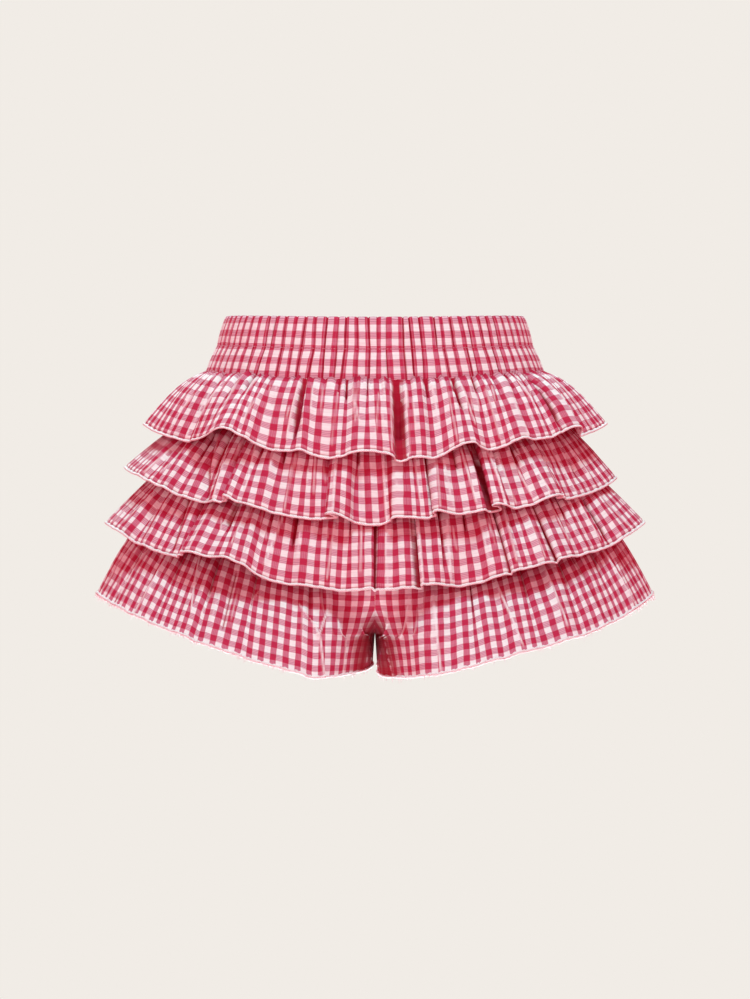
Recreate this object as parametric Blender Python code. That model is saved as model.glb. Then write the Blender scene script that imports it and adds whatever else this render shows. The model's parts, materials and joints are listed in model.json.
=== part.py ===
"""Tiered ruffle skort, in the shape it has when it is worn.

An elastic waistband, plain hip panels, three gathered ruffles sewn over them, and a gathered leg
tier with a crotch and two short legs. +Z is up, the front faces -Y and the wearer's left is +X.
The origin is the centre of the waist opening, level with the waistband's top at the side seams.
Sizes are in millimetres, and the meshes are in metres.
"""

import math
from collections import namedtuple

import bpy
from mathutils import Vector

MM = 0.001
UP = Vector((0.0, 0.0, 1.0))
FROM_CENTRE = Vector((1.0, 0.0, 0.0))  # level direction across the centre and crotch seams
FROM_SIDE = Vector((0.0, 1.0, 0.0))  # level direction across the side seams and inseams
QUARTER = math.pi / 2

# Cloth and seams.
CLOTH = 1.2  # wall of one layer of gathered poplin
SEAM_GAP = 0.3  # between two pieces that are sewn together
HALF_GAP = SEAM_GAP / 2

# The lines that run round the garment, from the top down. Half width at the side seam, depth at
# the centre front and centre back, and the height at each. bow shapes the sag between them.
Line = namedtuple("Line", "side side_z front front_z back back_z bow")
WAIST_TOP = Line(118.0, 0.0, 88.0, -4.0, 88.0, 0.0, 2.0)
CHANNEL = Line(124.5, -22.5, 95.0, -28.5, 96.0, -25.0, 2.0)  # stitching between the two casings
SEAM_1 = Line(133.5, -43.5, 102.0, -52.0, 104.0, -48.0, 2.0)  # waistband, hip and ruffle 1
SEAM_2 = Line(143.0, -78.5, 111.5, -99.0, 114.0, -97.0, 1.3)
SEAM_3 = Line(163.0, -114.0, 120.5, -150.0, 124.5, -148.0, 1.5)
SEAM_4 = Line(179.0, -151.0, 125.0, -203.0, 131.0, -203.0, 1.6)  # hip and leg tier

# A ruffle hangs from its seam to its hem in a low bulge. Its cut height is fixed, so where the hem
# lies higher the cloth swings further out. least_swing keeps the hem clear of the ruffle below.
Ruffle = namedtuple(
    "Ruffle", "seam cut_height side_hem front_hem back_hem bow least_swing side_bulge front_bulge"
)
RUFFLE_1 = Ruffle(SEAM_1, 62.8, -84.0, -110.5, -107.5, 1.2, 24.0, 5.5, 3.0)
RUFFLE_2 = Ruffle(SEAM_2, 65.5, -121.5, -159.5, -156.5, 1.3, 22.0, 5.0, 2.5)
RUFFLE_3 = Ruffle(SEAM_3, 66.8, -163.5, -211.5, -209.0, 1.8, 16.0, 4.0, 2.5)
SEAM_PUFF = 0.8  # how far gathered cloth stands off the panel at its seam
BULGE_HIGH = 0.7  # below 1, the bulge lies nearer to the seam than to the hem

# Folds of the gathers. place is the share of the half width as seen from the front, from -1 at the
# wearer's right side seam to 1 at the left. reach is the share of the ruffle's height that the fold
# runs down before it opens. The back has the same folds, as seen from behind.
Fold = namedtuple("Fold", "place depth reach")
SIDE_FOLD = (2.0, 0.8)  # depth and reach where two halves meet at a side seam
FOLDS_1 = [
    Fold(-0.93, 2.5, 0.9), Fold(-0.84, 3.0, 0.8), Fold(-0.75, 4.0, 0.9), Fold(-0.65, 3.0, 0.6),
    Fold(-0.54, 3.5, 0.6), Fold(-0.40, 5.0, 0.8), Fold(-0.29, 2.5, 0.4), Fold(-0.18, 4.5, 0.5),
    Fold(-0.04, 1.5, 0.3), Fold(0.105, 5.5, 0.8), Fold(0.19, 2.0, 0.3), Fold(0.285, 4.5, 0.6),
    Fold(0.40, 3.5, 0.6), Fold(0.52, 3.0, 0.7), Fold(0.66, 3.0, 0.7), Fold(0.80, 5.5, 0.9),
    Fold(0.91, 3.0, 0.8),
]
FOLDS_2 = [
    Fold(-0.93, 3.0, 0.9), Fold(-0.83, 2.5, 0.7), Fold(-0.71, 5.5, 0.9), Fold(-0.58, 2.5, 0.5),
    Fold(-0.46, 2.0, 0.4), Fold(-0.34, 3.5, 0.5), Fold(-0.225, 5.5, 0.9), Fold(-0.09, 2.0, 0.4),
    Fold(0.07, 3.0, 0.9), Fold(0.27, 4.0, 0.9), Fold(0.385, 2.0, 0.5), Fold(0.485, 5.5, 0.9),
    Fold(0.58, 2.5, 0.6), Fold(0.68, 3.0, 0.8), Fold(0.79, 4.0, 0.9), Fold(0.90, 3.0, 0.8),
]
FOLDS_3 = [
    Fold(-0.91, 3.0, 0.8), Fold(-0.75, 5.0, 0.9), Fold(-0.62, 3.0, 0.6), Fold(-0.49, 3.0, 0.6),
    Fold(-0.37, 4.0, 0.5), Fold(-0.24, 2.5, 0.5), Fold(-0.11, 2.0, 0.5), Fold(0.0, 4.0, 1.2),
    Fold(0.165, 4.0, 0.9), Fold(0.275, 3.5, 0.9), Fold(0.40, 2.0, 0.5), Fold(0.52, 2.5, 0.7),
    Fold(0.64, 3.0, 0.7), Fold(0.76, 3.5, 0.8), Fold(0.89, 4.0, 0.8),
]
FOLD_TOP = 0.1  # share of a fold's depth that is there at the seam
FOLD_GROWTH = 0.35  # share of the height over which it grows to its full depth
FOLD_OPENING = 4  # power of the curve by which it opens below its reach

# Waves of a hem, from side seam to side seam: place as above, and how far the hem rises.
Wave = namedtuple("Wave", "place rise")
WAVES_1 = [
    Wave(-1.0, 0.0), Wave(-0.80, -2.0), Wave(-0.66, 10.0), Wave(-0.47, -1.5), Wave(-0.33, 1.5),
    Wave(-0.20, -3.5), Wave(-0.04, 3.0), Wave(0.11, -4.8), Wave(0.17, -2.2), Wave(0.24, -3.2),
    Wave(0.45, 6.5), Wave(0.51, -1.0), Wave(0.65, 6.0), Wave(0.74, 2.5), Wave(0.87, 7.0),
    Wave(0.93, 0.0), Wave(1.0, 3.5),
]
WAVES_2 = [
    Wave(-1.0, 2.0), Wave(-0.93, 0.0), Wave(-0.67, 1.0), Wave(-0.63, 7.0), Wave(-0.43, 0.0),
    Wave(-0.23, -1.5), Wave(-0.19, 4.4), Wave(-0.02, -4.2), Wave(0.085, 1.7), Wave(0.22, -0.6),
    Wave(0.29, 4.0), Wave(0.46, 1.0), Wave(0.50, 5.4), Wave(0.60, -0.8), Wave(0.77, 2.0),
    Wave(0.83, -5.0), Wave(0.95, -6.0), Wave(1.0, -4.0),
]
WAVES_3 = [
    Wave(-1.0, 0.0), Wave(-0.85, -3.4), Wave(-0.77, -2.6), Wave(-0.73, 4.6), Wave(-0.60, 8.0),
    Wave(-0.45, 0.8), Wave(-0.34, -1.6), Wave(-0.22, -0.8), Wave(-0.12, -2.2), Wave(0.0, -1.0),
    Wave(0.20, 1.5), Wave(0.33, -3.4), Wave(0.50, 0.0), Wave(0.67, 0.0), Wave(0.78, -3.4),
    Wave(0.88, -6.0), Wave(1.0, 0.0),
]
SIDE_MEET = 8  # power of the curve by which the back's hem meets the front's at a side seam

# The leg tier, one quarter at a time. Across a quarter, share 0 is the centre seam and the inseam,
# and share 1 is the side seam. Between them the cloth is furthest forward, or back, at LEG_TURN.
LEG_TURN = 0.40
LEG_TURN_X = 45.0
LEG_HEM_DEPTH = {"front": 175.0, "back": 181.0}
LEG_HEM_LOW = -276.4
LEG_HEM_SIDE = 219.5
LEG_HEM_SIDE_Z = -217.5
LEG_HEM_STEEPER = 0.2  # share of the hem's climb that comes close to the side seam
LEG_BULGE = 2.0
CROTCH_Z = -248.0
INSEAM_HEM_Z = -275.0
INSEAM_HALF_GAP = 2.0  # between the two legs at the hem
CENTRE_FRONT_Z = SEAM_4.front_z
CROTCH_FALL = (CENTRE_FRONT_Z - CROTCH_Z) / (CENTRE_FRONT_Z - INSEAM_HEM_Z)
CROTCH_ROUND = 2.3  # power of the curve that the centre seam follows to the crotch
ARC_LIMIT = 0.99  # keeps the round of the leg from vanishing where the tier is still level
LEG_FOLD_DEPTH = 3.2
LEG_FOLD_REACH = 0.9
LEG_QUIET = 0.2  # share of a quarter by the centre seam over which its folds die away
LEG_FOLDS = {
    ("front", "right"): [0.20, 0.31, 0.41, 0.52, 0.61, 0.70, 0.84],
    ("front", "left"): [0.19, 0.35, 0.47, 0.58, 0.675, 0.775, 0.87],
    ("back", "right"): [0.20, 0.32, 0.43, 0.56, 0.68, 0.78, 0.89],
    ("back", "left"): [0.21, 0.33, 0.45, 0.56, 0.65, 0.76, 0.87],
}

# The waistband's two swollen casings and its elastic gathers.
BAND_INSIDE = 0.6  # from its middle line to its plain inside
BAND_FLAT = 0.6  # from its middle line to its outside along a line of stitches
BAND_PUFF = 1.2  # how far each casing swells between its stitch lines
BAND_RIDGE = 1.1  # height of a gather
BAND_GATHERS = 30  # in each half
BAND_UNEVEN = 0.35  # how much the gathers' widths vary
BAND_STEP = 2.4  # turns their widths into an uneven series
BAND_CREST = 0.45  # share of a gather's width where its crest lies
Section = namedtuple("Section", "upper lower share puff ridge")
BAND_SECTIONS = [
    Section(WAIST_TOP, CHANNEL, 0.0, 0.1, 0.3),
    Section(WAIST_TOP, CHANNEL, 0.15, 0.8, 1.0),
    Section(WAIST_TOP, CHANNEL, 0.7, 0.9, 1.0),
    Section(CHANNEL, SEAM_1, 0.0, 0.0, 0.5),
    Section(CHANNEL, SEAM_1, 0.45, 0.9, 1.0),
    Section(CHANNEL, SEAM_1, 1.0, 0.1, 0.4),
]

# Where the grids have their rows and columns.
RUFFLE_ROWS = [0.0, 0.1, 0.32, 0.64, 1.0]
LEG_ROWS = [0.0, 0.22, 0.42, 0.55, 0.61, CROTCH_FALL, 0.82, 1.0]
HIP_ROWS = 2  # between one seam line and the next
HIP_COLUMNS = 9
PUFF_STEPS = 4  # columns from one fold to the next
SMOOTH_ANGLE = 50.0  # degrees; sharper edges than this are shaded sharp


def smooth(share):
    """0 below 0, 1 above 1, and an easy curve between."""
    share = min(max(share, 0.0), 1.0)
    return share * share * (3.0 - 2.0 * share)


def on_line(line, turn):
    """The point of a line at an angle from the centre front, positive towards the wearer's left."""
    ahead = math.cos(turn)
    depth, end_z = (line.front, line.front_z) if ahead > 0 else (line.back, line.back_z)
    z = line.side_z + (end_z - line.side_z) * abs(ahead) ** line.bow
    return Vector((line.side * math.sin(turn), -depth * ahead, z))


def between_lines(upper, lower, turn, share):
    return on_line(upper, turn).lerp(on_line(lower, turn), share)


def hip_edge_z(line, turn):
    """The height of a line where it is an edge of the hip panels, straight between their columns."""
    step = QUARTER / HIP_COLUMNS
    cell = math.floor(turn / step)
    left, right = on_line(line, cell * step).z, on_line(line, (cell + 1) * step).z
    return left + (right - left) * (turn / step - cell)


def outward(line, turn):
    """The level direction that points straight out of a line."""
    depth = line.front if math.cos(turn) > 0 else line.back
    return Vector((math.sin(turn) / line.side, -math.cos(turn) / depth, 0.0)).normalized()


def across(turn):
    """The level direction across a seam at one of the four quarter turns."""
    return FROM_CENTRE if abs(math.cos(turn)) > 0.5 else FROM_SIDE


def rise_at(waves, place):
    for left, right in zip(waves, waves[1:]):
        if place <= right.place:
            share = (place - left.place) / (right.place - left.place)
            return left.rise + (right.rise - left.rise) * smooth(share)
    return waves[-1].rise


def wave_rise(waves, turn):
    """How far the hem rises. The back has the same waves as seen from behind, and joins the front."""
    place = math.sin(turn)
    if math.cos(turn) > 0:
        return rise_at(waves, place)
    own, front = (waves[0], waves[-1]) if place > 0 else (waves[-1], waves[0])
    return rise_at(waves, -place) + (front.rise - own.rise) * abs(place) ** SIDE_MEET


def fold_turns(folds, half):
    """(turn, fold) of each fold of one half, with a fold in each side seam at its ends."""
    row = [Fold(-1.0, *SIDE_FOLD), *folds, Fold(1.0, *SIDE_FOLD)]
    middle = 0.0 if half == "front" else math.pi
    return [(middle + math.asin(fold.place), fold) for fold in row]


def fold_depth(depth, reach, fall):
    """Depth of a fold at a share of the way down: small in the seam, then full, then opening."""
    grown = FOLD_TOP + (1.0 - FOLD_TOP) * smooth(fall / FOLD_GROWTH)
    return depth * grown / (1.0 + (fall / reach) ** FOLD_OPENING)


def dent(turns, turn, fall):
    """How far the folds pull the cloth in at this place: sharp valleys between round puffs."""
    for (left, left_fold), (right, right_fold) in zip(turns, turns[1:]):
        if turn <= right:
            share = (turn - left) / (right - left)
            near, fold = (share, left_fold) if share < 0.5 else (1.0 - share, right_fold)
            return fold_depth(fold.depth, fold.reach, fall) * (1.0 - 2.0 * near) ** 2
    return 0.0


def ruffle_point(ruffle, waves, turns, turn, fall):
    """The middle of the ruffle's cloth at a turn, and a share of the way down from its seam."""
    out = outward(ruffle.seam, turn)
    seam = on_line(ruffle.seam, turn)
    seam += out * (CLOTH + SEAM_GAP + SEAM_PUFF) - UP * (CLOTH / 2 + SEAM_GAP)
    ahead = math.cos(turn)
    end_hem = ruffle.front_hem if ahead > 0 else ruffle.back_hem
    hem_z = ruffle.side_hem + (end_hem - ruffle.side_hem) * abs(ahead) ** ruffle.bow
    drop = seam.z - hem_z - wave_rise(waves, turn)
    bulge = ruffle.side_bulge + (ruffle.front_bulge - ruffle.side_bulge) * abs(ahead)
    chord = ruffle.cut_height - (math.pi * bulge) ** 2 / (4 * ruffle.cut_height)
    swing = math.sqrt(max(chord**2 - drop**2, ruffle.least_swing**2))
    face = (out * drop + UP * swing).normalized()
    puff = bulge * math.sin(math.pi * fall**BULGE_HIGH) - dent(turns, turn, fall)
    return seam + (out * swing - UP * drop) * fall + face * puff


def puff_columns(places):
    """(place, nearness) of a grid's columns: at each fold, where nearness is 1, and between."""
    columns = []
    for left, right in zip(places, places[1:]):
        for step in range(PUFF_STEPS):
            share = step / PUFF_STEPS
            columns.append((left + (right - left) * share, abs(1.0 - 2.0 * share)))
    return [*columns, (places[-1], 1.0)]


def inset_ends(turns, line):
    """The same turns with the first and the last moved in by half the gap of a seam."""
    step = HALF_GAP / line.front
    return [turns[0] + step, *turns[1:-1], turns[-1] - step]


def unit_normals(grid):
    """The outward direction at each point of a grid of rows going down and columns going round."""
    rows, columns = len(grid), len(grid[0])
    normals = []
    for r in range(rows):
        above, below = grid[max(r - 1, 0)], grid[min(r + 1, rows - 1)]
        row = []
        for c in range(columns):
            along = grid[r][min(c + 1, columns - 1)] - grid[r][max(c - 1, 0)]
            row.append(along.cross(above[c] - below[c]).normalized())
        normals.append(row)
    return normals


def square_row(normals, r, direction):
    """Make the wall end square at a seam that runs along a row."""
    for c in range(len(normals[r])):
        square_point(normals, r, c, direction)


def square_column(normals, c, direction):
    """Make the wall end square at a seam that runs down a column."""
    for r in range(len(normals)):
        square_point(normals, r, c, direction)


def square_point(normals, r, c, direction):
    normal = normals[r][c]
    normals[r][c] = (normal - direction * normal.dot(direction)).normalized()


def make_material(name, colour, roughness):
    material = bpy.data.materials.new(name)
    material.use_nodes = True
    shader = material.node_tree.nodes["Principled BSDF"]
    shader.inputs["Base Color"].default_value = (*colour, 1.0)
    shader.inputs["Roughness"].default_value = roughness
    shader.inputs["Metallic"].default_value = 0.0
    return material


def add_wall(name, outer, inner, material):
    """One closed solid between two grids of the same size."""
    rows, columns = len(outer), len(outer[0])
    points = [p * MM for grid in (outer, inner) for row in grid for p in row]
    shift = rows * columns

    def at(r, c):
        return r * columns + c

    faces = []
    for r in range(rows - 1):
        for c in range(columns - 1):
            a, b, d, e = at(r, c), at(r + 1, c), at(r + 1, c + 1), at(r, c + 1)
            faces.append((a, b, d, e))
            faces.append((a + shift, e + shift, d + shift, b + shift))
    border = [at(0, c) for c in range(columns)]
    border += [at(r, columns - 1) for r in range(1, rows)]
    border += [at(rows - 1, c) for c in range(columns - 2, -1, -1)]
    border += [at(r, 0) for r in range(rows - 2, 0, -1)]
    for here, there in zip(border, [*border[1:], border[0]]):
        faces.append((here, there, there + shift, here + shift))
    mesh = bpy.data.meshes.new(name)
    mesh.from_pydata(points, [], faces)
    mesh.materials.append(material)
    mesh.shade_smooth()
    mesh.set_sharp_from_angle(angle=math.radians(SMOOTH_ANGLE))
    mesh.update()
    piece = bpy.data.objects.new(name, mesh)
    bpy.context.scene.collection.objects.link(piece)


def add_cloth(name, grid, normals, material):
    """A wall of even thickness, half on each side of a grid of the cloth's middle."""
    outer = [[p + n * (CLOTH / 2) for p, n in zip(*row)] for row in zip(grid, normals)]
    inner = [[p - n * (CLOTH / 2) for p, n in zip(*row)] for row in zip(grid, normals)]
    add_wall(name, outer, inner, material)


def band_columns(half):
    """(turn, height) of the waistband's columns: the valley and the crest of each gather."""
    widths = [1.0 + BAND_UNEVEN * math.sin(g * BAND_STEP + g * g) for g in range(BAND_GATHERS)]
    unit = 2 * QUARTER / sum(widths)
    turn = -QUARTER if half == "front" else QUARTER
    columns = []
    for width in widths:
        columns += [(turn, 0.0), (turn + BAND_CREST * width * unit, 1.0)]
        turn += width * unit
    return [*columns, (turn, 0.0)]


def add_waistband(half, material):
    """Half of the elastic waistband: two swollen casings with gathers over a plain inside."""
    columns = band_columns(half)
    turns = inset_ends([turn for turn, _ in columns], WAIST_TOP)
    outer, inner = [], []
    for section in BAND_SECTIONS:
        outer_row, inner_row = [], []
        for turn, (_, height) in zip(turns, columns):
            middle = between_lines(section.upper, section.lower, turn, section.share)
            out = outward(section.upper, turn)
            face = BAND_FLAT + section.puff * BAND_PUFF + section.ridge * height * BAND_RIDGE
            outer_row.append(middle + out * face)
            inner_row.append(middle - out * BAND_INSIDE)
        outer.append(outer_row)
        inner.append(inner_row)
    add_wall(f"waistband_{half}", outer, inner, material)


def add_hip(half, side, material):
    """One plain panel of the hip, from the waistband down to the leg tier."""
    start = {"front": 0.0, "back": QUARTER}[half]
    turns = [start + QUARTER * c / HIP_COLUMNS for c in range(HIP_COLUMNS + 1)]
    if side == "right":
        turns = [-turn for turn in reversed(turns)]
    turns = inset_ends(turns, SEAM_1)
    grid = []
    lines = [SEAM_1, SEAM_2, SEAM_3, SEAM_4]
    for upper, lower in zip(lines, lines[1:]):
        for step in range(HIP_ROWS):
            grid.append([between_lines(upper, lower, turn, step / HIP_ROWS) for turn in turns])
    grid.append([on_line(SEAM_4, turn) for turn in turns])
    normals = unit_normals(grid)
    for row, lift in ((0, -SEAM_GAP), (-1, SEAM_GAP)):
        grid[row] = [p + UP * lift for p in grid[row]]
        square_row(normals, row, UP)
    square_column(normals, 0, across(turns[0]))
    square_column(normals, -1, across(turns[-1]))
    add_cloth(f"hip_{half}_{side}", grid, normals, material)


def add_ruffle(name, ruffle, folds, waves, half, material, sides=(-1.0, 1.0)):
    """A gathered ruffle over one half, or over the part of it between two places."""
    row = [(turn, fold) for turn, fold in fold_turns(folds, half) if sides[0] <= fold.place <= sides[1]]
    turns = inset_ends([turn for turn, _ in puff_columns([turn for turn, _ in row])], ruffle.seam)
    grid = [[ruffle_point(ruffle, waves, row, turn, fall) for turn in turns] for fall in RUFFLE_ROWS]
    normals = unit_normals(grid)
    square_column(normals, 0, across(turns[0]))
    square_column(normals, -1, across(turns[-1]))
    add_cloth(name, grid, normals, material)


def centre_point(half, fall):
    """The centre seam from the hip down to the crotch, and the inseam from there to the hem."""
    z = CENTRE_FRONT_Z + (INSEAM_HEM_Z - CENTRE_FRONT_Z) * fall
    if fall >= CROTCH_FALL:
        part = (fall - CROTCH_FALL) / (1.0 - CROTCH_FALL)
        x = HALF_GAP + CLOTH / 2 + (INSEAM_HALF_GAP - CLOTH / 2) * part
        return Vector((x, HALF_GAP, z))
    part = fall / CROTCH_FALL
    depth = SEAM_4.front if half == "front" else SEAM_4.back
    y = max(depth * (1.0 - part**CROTCH_ROUND) ** (1.0 / CROTCH_ROUND), HALF_GAP)
    return Vector((HALF_GAP, y, z))


def leg_point(half, share, fall):
    """The middle of the leg tier's cloth on the wearer's left, before its folds. Y is the depth."""
    hem_depth = LEG_HEM_DEPTH[half]
    turn_start = math.asin(LEG_TURN_X / SEAM_4.side)
    if share < LEG_TURN:
        part = share / LEG_TURN
        turn = turn_start * part
    else:
        part = (share - LEG_TURN) / (1.0 - LEG_TURN)
        turn = turn_start + (QUARTER - turn_start) * part
    line_turn = turn if half == "front" else math.pi - turn
    top = on_line(SEAM_4, line_turn)
    top = Vector((top.x, abs(top.y), hip_edge_z(SEAM_4, line_turn)))
    if share >= LEG_TURN:
        over = math.sin(QUARTER * part)
        climb = over + LEG_HEM_STEEPER * (over**4 - over)
        hem = Vector((
            LEG_TURN_X + (LEG_HEM_SIDE - LEG_TURN_X) * over,
            hem_depth * math.cos(QUARTER * part),
            LEG_HEM_LOW + (LEG_HEM_SIDE_Z - LEG_HEM_LOW) * climb,
        ))
        return top.lerp(hem, fall)
    start = centre_point(half, fall)
    end = leg_point(half, LEG_TURN, fall)
    turned = smooth(fall / CROTCH_FALL)
    level_x = math.sin(turn) / math.sin(turn_start)
    level_y = (1.0 - math.cos(turn)) / (1.0 - math.cos(turn_start))
    arc_start = math.asin(min(start.y / end.y, ARC_LIMIT))
    arc = arc_start + (QUARTER - arc_start) * part
    round_x = 1.0 - math.cos(arc) / math.cos(arc_start)
    round_y = (math.sin(arc) - math.sin(arc_start)) / (1.0 - math.sin(arc_start))
    x = level_x + (round_x - level_x) * turned
    y = level_y + (round_y - level_y) * turned
    hem_z = INSEAM_HEM_Z + (LEG_HEM_LOW - INSEAM_HEM_Z) * part
    z = top.z + (hem_z - top.z) * fall
    return Vector((start.x + (end.x - start.x) * x, start.y + (end.y - start.y) * y, z))


def add_leg(half, side, material):
    """One quarter of the gathered leg tier."""
    columns = puff_columns([0.0, *LEG_FOLDS[half, side], 1.0])
    base = [[leg_point(half, share, fall) for share, _ in columns] for fall in LEG_ROWS]
    for row in base:
        row[-1].y = HALF_GAP
    across_x = 1.0 if side == "left" else -1.0
    across_y = -1.0 if half == "front" else 1.0
    base = [[Vector((p.x * across_x, p.y * across_y, p.z)) for p in row] for row in base]
    if (half == "front") != (side == "left"):
        base = [row[::-1] for row in base]
        columns = columns[::-1]
    centre, outer_side = (0, -1) if columns[0][0] == 0.0 else (-1, 0)
    grid = []
    for fall, row, normal_row in zip(LEG_ROWS, base, unit_normals(base)):
        placed = []
        for (share, near), point, normal in zip(columns, row, normal_row):
            depth = fold_depth(LEG_FOLD_DEPTH, LEG_FOLD_REACH, fall) * near**2
            depth *= smooth(share / LEG_QUIET) * smooth((1.0 - share) / LEG_QUIET)
            bulge = LEG_BULGE * math.sin(math.pi * fall) * smooth(share / LEG_TURN)
            placed.append(point + normal * (bulge - depth))
        placed[outer_side].y = HALF_GAP * across_y
        grid.append(placed)
    grid[0] = [p - UP * HALF_GAP for p in grid[0]]
    normals = unit_normals(grid)
    square_row(normals, 0, UP)
    square_column(normals, outer_side, FROM_SIDE)
    for r, fall in enumerate(LEG_ROWS):
        if fall <= CROTCH_FALL:
            square_point(normals, r, centre, FROM_CENTRE)
        if fall >= CROTCH_FALL:
            square_point(normals, r, centre, FROM_SIDE)
    add_cloth(f"leg_{half}_{side}", grid, normals, material)


def main():
    for old in list(bpy.data.objects):
        bpy.data.objects.remove(old)
    gingham = make_material("gingham_poplin", (0.72, 0.22, 0.30), 0.85)
    band = make_material("gingham_waistband", (0.70, 0.20, 0.28), 0.85)
    for half in ("front", "back"):
        add_waistband(half, band)
        add_ruffle(f"ruffle_1_{half}", RUFFLE_1, FOLDS_1, WAVES_1, half, gingham)
        add_ruffle(f"ruffle_2_{half}", RUFFLE_2, FOLDS_2, WAVES_2, half, gingham)
        low, high = ("right", "left") if half == "front" else ("left", "right")
        for side, sides in ((low, (-1.0, 0.0)), (high, (0.0, 1.0))):
            add_ruffle(f"ruffle_3_{half}_{side}", RUFFLE_3, FOLDS_3, WAVES_3, half, gingham, sides)
            add_hip(half, side, gingham)
            add_leg(half, side, gingham)


main()
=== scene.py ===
# %% [markdown]
# # A tiered ruffle skort in gingham cotton
#
# The real garment is a pair of very short shorts. An elastic waistband holds it up, and three gathered
# ruffles are sewn in rows over plain hip panels, so that from outside it looks like a skirt. A fourth
# gathered tier is the shorts' own legs. All of it is cut from one light, yarn-dyed cotton: gingham,
# whose red and white threads cross to make deep, middle and white squares.
#
# Blender could make this by cloth simulation, by sculpting, or by formulas. A simulation is hard to
# steer towards one particular set of folds, so here every piece is a thin shell over a grid of points:
# one direction of the grid follows the warp threads down from the seam to the hem, and the other goes
# round the body from thread to thread. Folds are then listed in short tables.

# %% The imported model
import json
import math
from collections import namedtuple

import bpy
import numpy as np
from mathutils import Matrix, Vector

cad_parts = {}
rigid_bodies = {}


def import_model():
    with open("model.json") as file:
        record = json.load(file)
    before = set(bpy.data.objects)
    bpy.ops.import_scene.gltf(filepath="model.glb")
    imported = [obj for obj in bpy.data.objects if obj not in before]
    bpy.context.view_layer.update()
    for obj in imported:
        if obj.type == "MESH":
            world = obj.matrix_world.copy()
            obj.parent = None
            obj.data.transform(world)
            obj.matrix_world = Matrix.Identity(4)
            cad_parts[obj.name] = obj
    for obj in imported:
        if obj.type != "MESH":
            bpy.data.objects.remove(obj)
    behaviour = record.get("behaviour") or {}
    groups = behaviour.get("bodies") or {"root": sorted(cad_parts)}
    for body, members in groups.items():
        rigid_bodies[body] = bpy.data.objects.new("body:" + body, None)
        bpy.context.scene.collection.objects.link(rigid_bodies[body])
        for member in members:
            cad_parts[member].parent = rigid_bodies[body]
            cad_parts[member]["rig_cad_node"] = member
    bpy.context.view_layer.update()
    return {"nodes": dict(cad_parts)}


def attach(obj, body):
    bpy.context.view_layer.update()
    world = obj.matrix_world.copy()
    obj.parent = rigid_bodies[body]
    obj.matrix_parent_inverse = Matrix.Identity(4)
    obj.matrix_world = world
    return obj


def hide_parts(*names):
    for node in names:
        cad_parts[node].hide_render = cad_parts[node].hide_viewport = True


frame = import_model()
MM = 0.001
print("nodes in the frame:", len(frame["nodes"]))

# %% [markdown]
# ## Colour and nodes
#
# Colours are picked as sRGB hex values, as on a swatch, but Blender's shaders work in linear light.
# One function turns one into the other. Another adds a node with its settings, values and links, and
# the rest are short ways to ask for the nodes that come up again and again.


# %% Colour and node helpers
def hex_colour(code):
    """An sRGB hex colour as linear red, green, blue and alpha, by the curve of the standard."""
    channels = [int(code[i : i + 2], 16) / 255 for i in (0, 2, 4)]
    linear = [c / 12.92 if c <= 0.04045 else ((c + 0.055) / 1.055) ** 2.4 for c in channels]
    return (*linear, 1.0)


def add_node(tree, kind, values=None, links=None, **settings):
    """Add one node. values and links are by the name or the number of its inputs."""
    made = tree.nodes.new(kind)
    for setting, value in settings.items():
        setattr(made, setting, value)
    for place, value in (values or {}).items():
        made.inputs[place].default_value = value
    for place, source in (links or {}).items():
        tree.links.new(source, made.inputs[place])
    return made


def combine(tree, operation, *sources, kind="ShaderNodeMath"):
    """A sum on numbers or vectors. Each source is a value or another node's output."""
    values, links = {}, {}
    for place, source in enumerate(sources):
        linked = isinstance(source, bpy.types.NodeSocket)
        (links if linked else values)[place] = source
    return add_node(tree, kind, values, links, operation=operation).outputs[0]


def spread_range(tree, source, low, high, to_low=0.0, to_high=1.0):
    """Spread the numbers from low to high over another range, softly at both ends."""
    values = {"From Min": low, "From Max": high, "To Min": to_low, "To Max": to_high}
    soft = {"interpolation_type": "SMOOTHSTEP"}
    return add_node(tree, "ShaderNodeMapRange", values, {"Value": source}, **soft).outputs[0]


def mix_colours(tree, share, first, second):
    """Mix two colours. Each is a hex value or another node's output."""
    values, links = {}, {0: share}
    for place, colour in ((6, first), (7, second)):
        if isinstance(colour, str):
            values[place] = hex_colour(colour)
        else:
            links[place] = colour
    return add_node(tree, "ShaderNodeMix", values, links, data_type="RGBA").outputs[2]


def add_noise(tree, place, scale, detail=2.0):
    values = {"Scale": scale, "Detail": detail}
    return add_node(tree, "ShaderNodeTexNoise", values, {"Vector": place})


def add_bump(tree, height, strength, distance, under=None):
    """The normal of a bumpy face. under is the normal of a finer bump below it."""
    values = {"Strength": strength, "Distance": distance}
    links = {"Height": height} | ({} if under is None else {"Normal": under})
    return add_node(tree, "ShaderNodeBump", values, links).outputs[0]


def empty_tree(owner):
    owner.use_nodes = True
    owner.node_tree.nodes.clear()
    return owner.node_tree


def add_object(name, data):
    made = bpy.data.objects.new(name, data)
    bpy.context.scene.collection.objects.link(made)
    return made


STUDIO_TONE = "F1ECE6"
print("pale studio tone, linear:", [round(c, 3) for c in hex_colour(STUDIO_TONE)[:3]])

# %% [markdown]
# ## The studio
#
# The photograph is a shop picture: an even, pale, slightly warm ground with no shadow, soft light from
# above and in front, and a level camera a few metres away. A long lens keeps the sides of the garment
# from swelling. The floor is a wide pale plane well below the hem. It is seen by the camera but gives
# the cloth no light, because light from straight below would wash out the shade under each ruffle.

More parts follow.
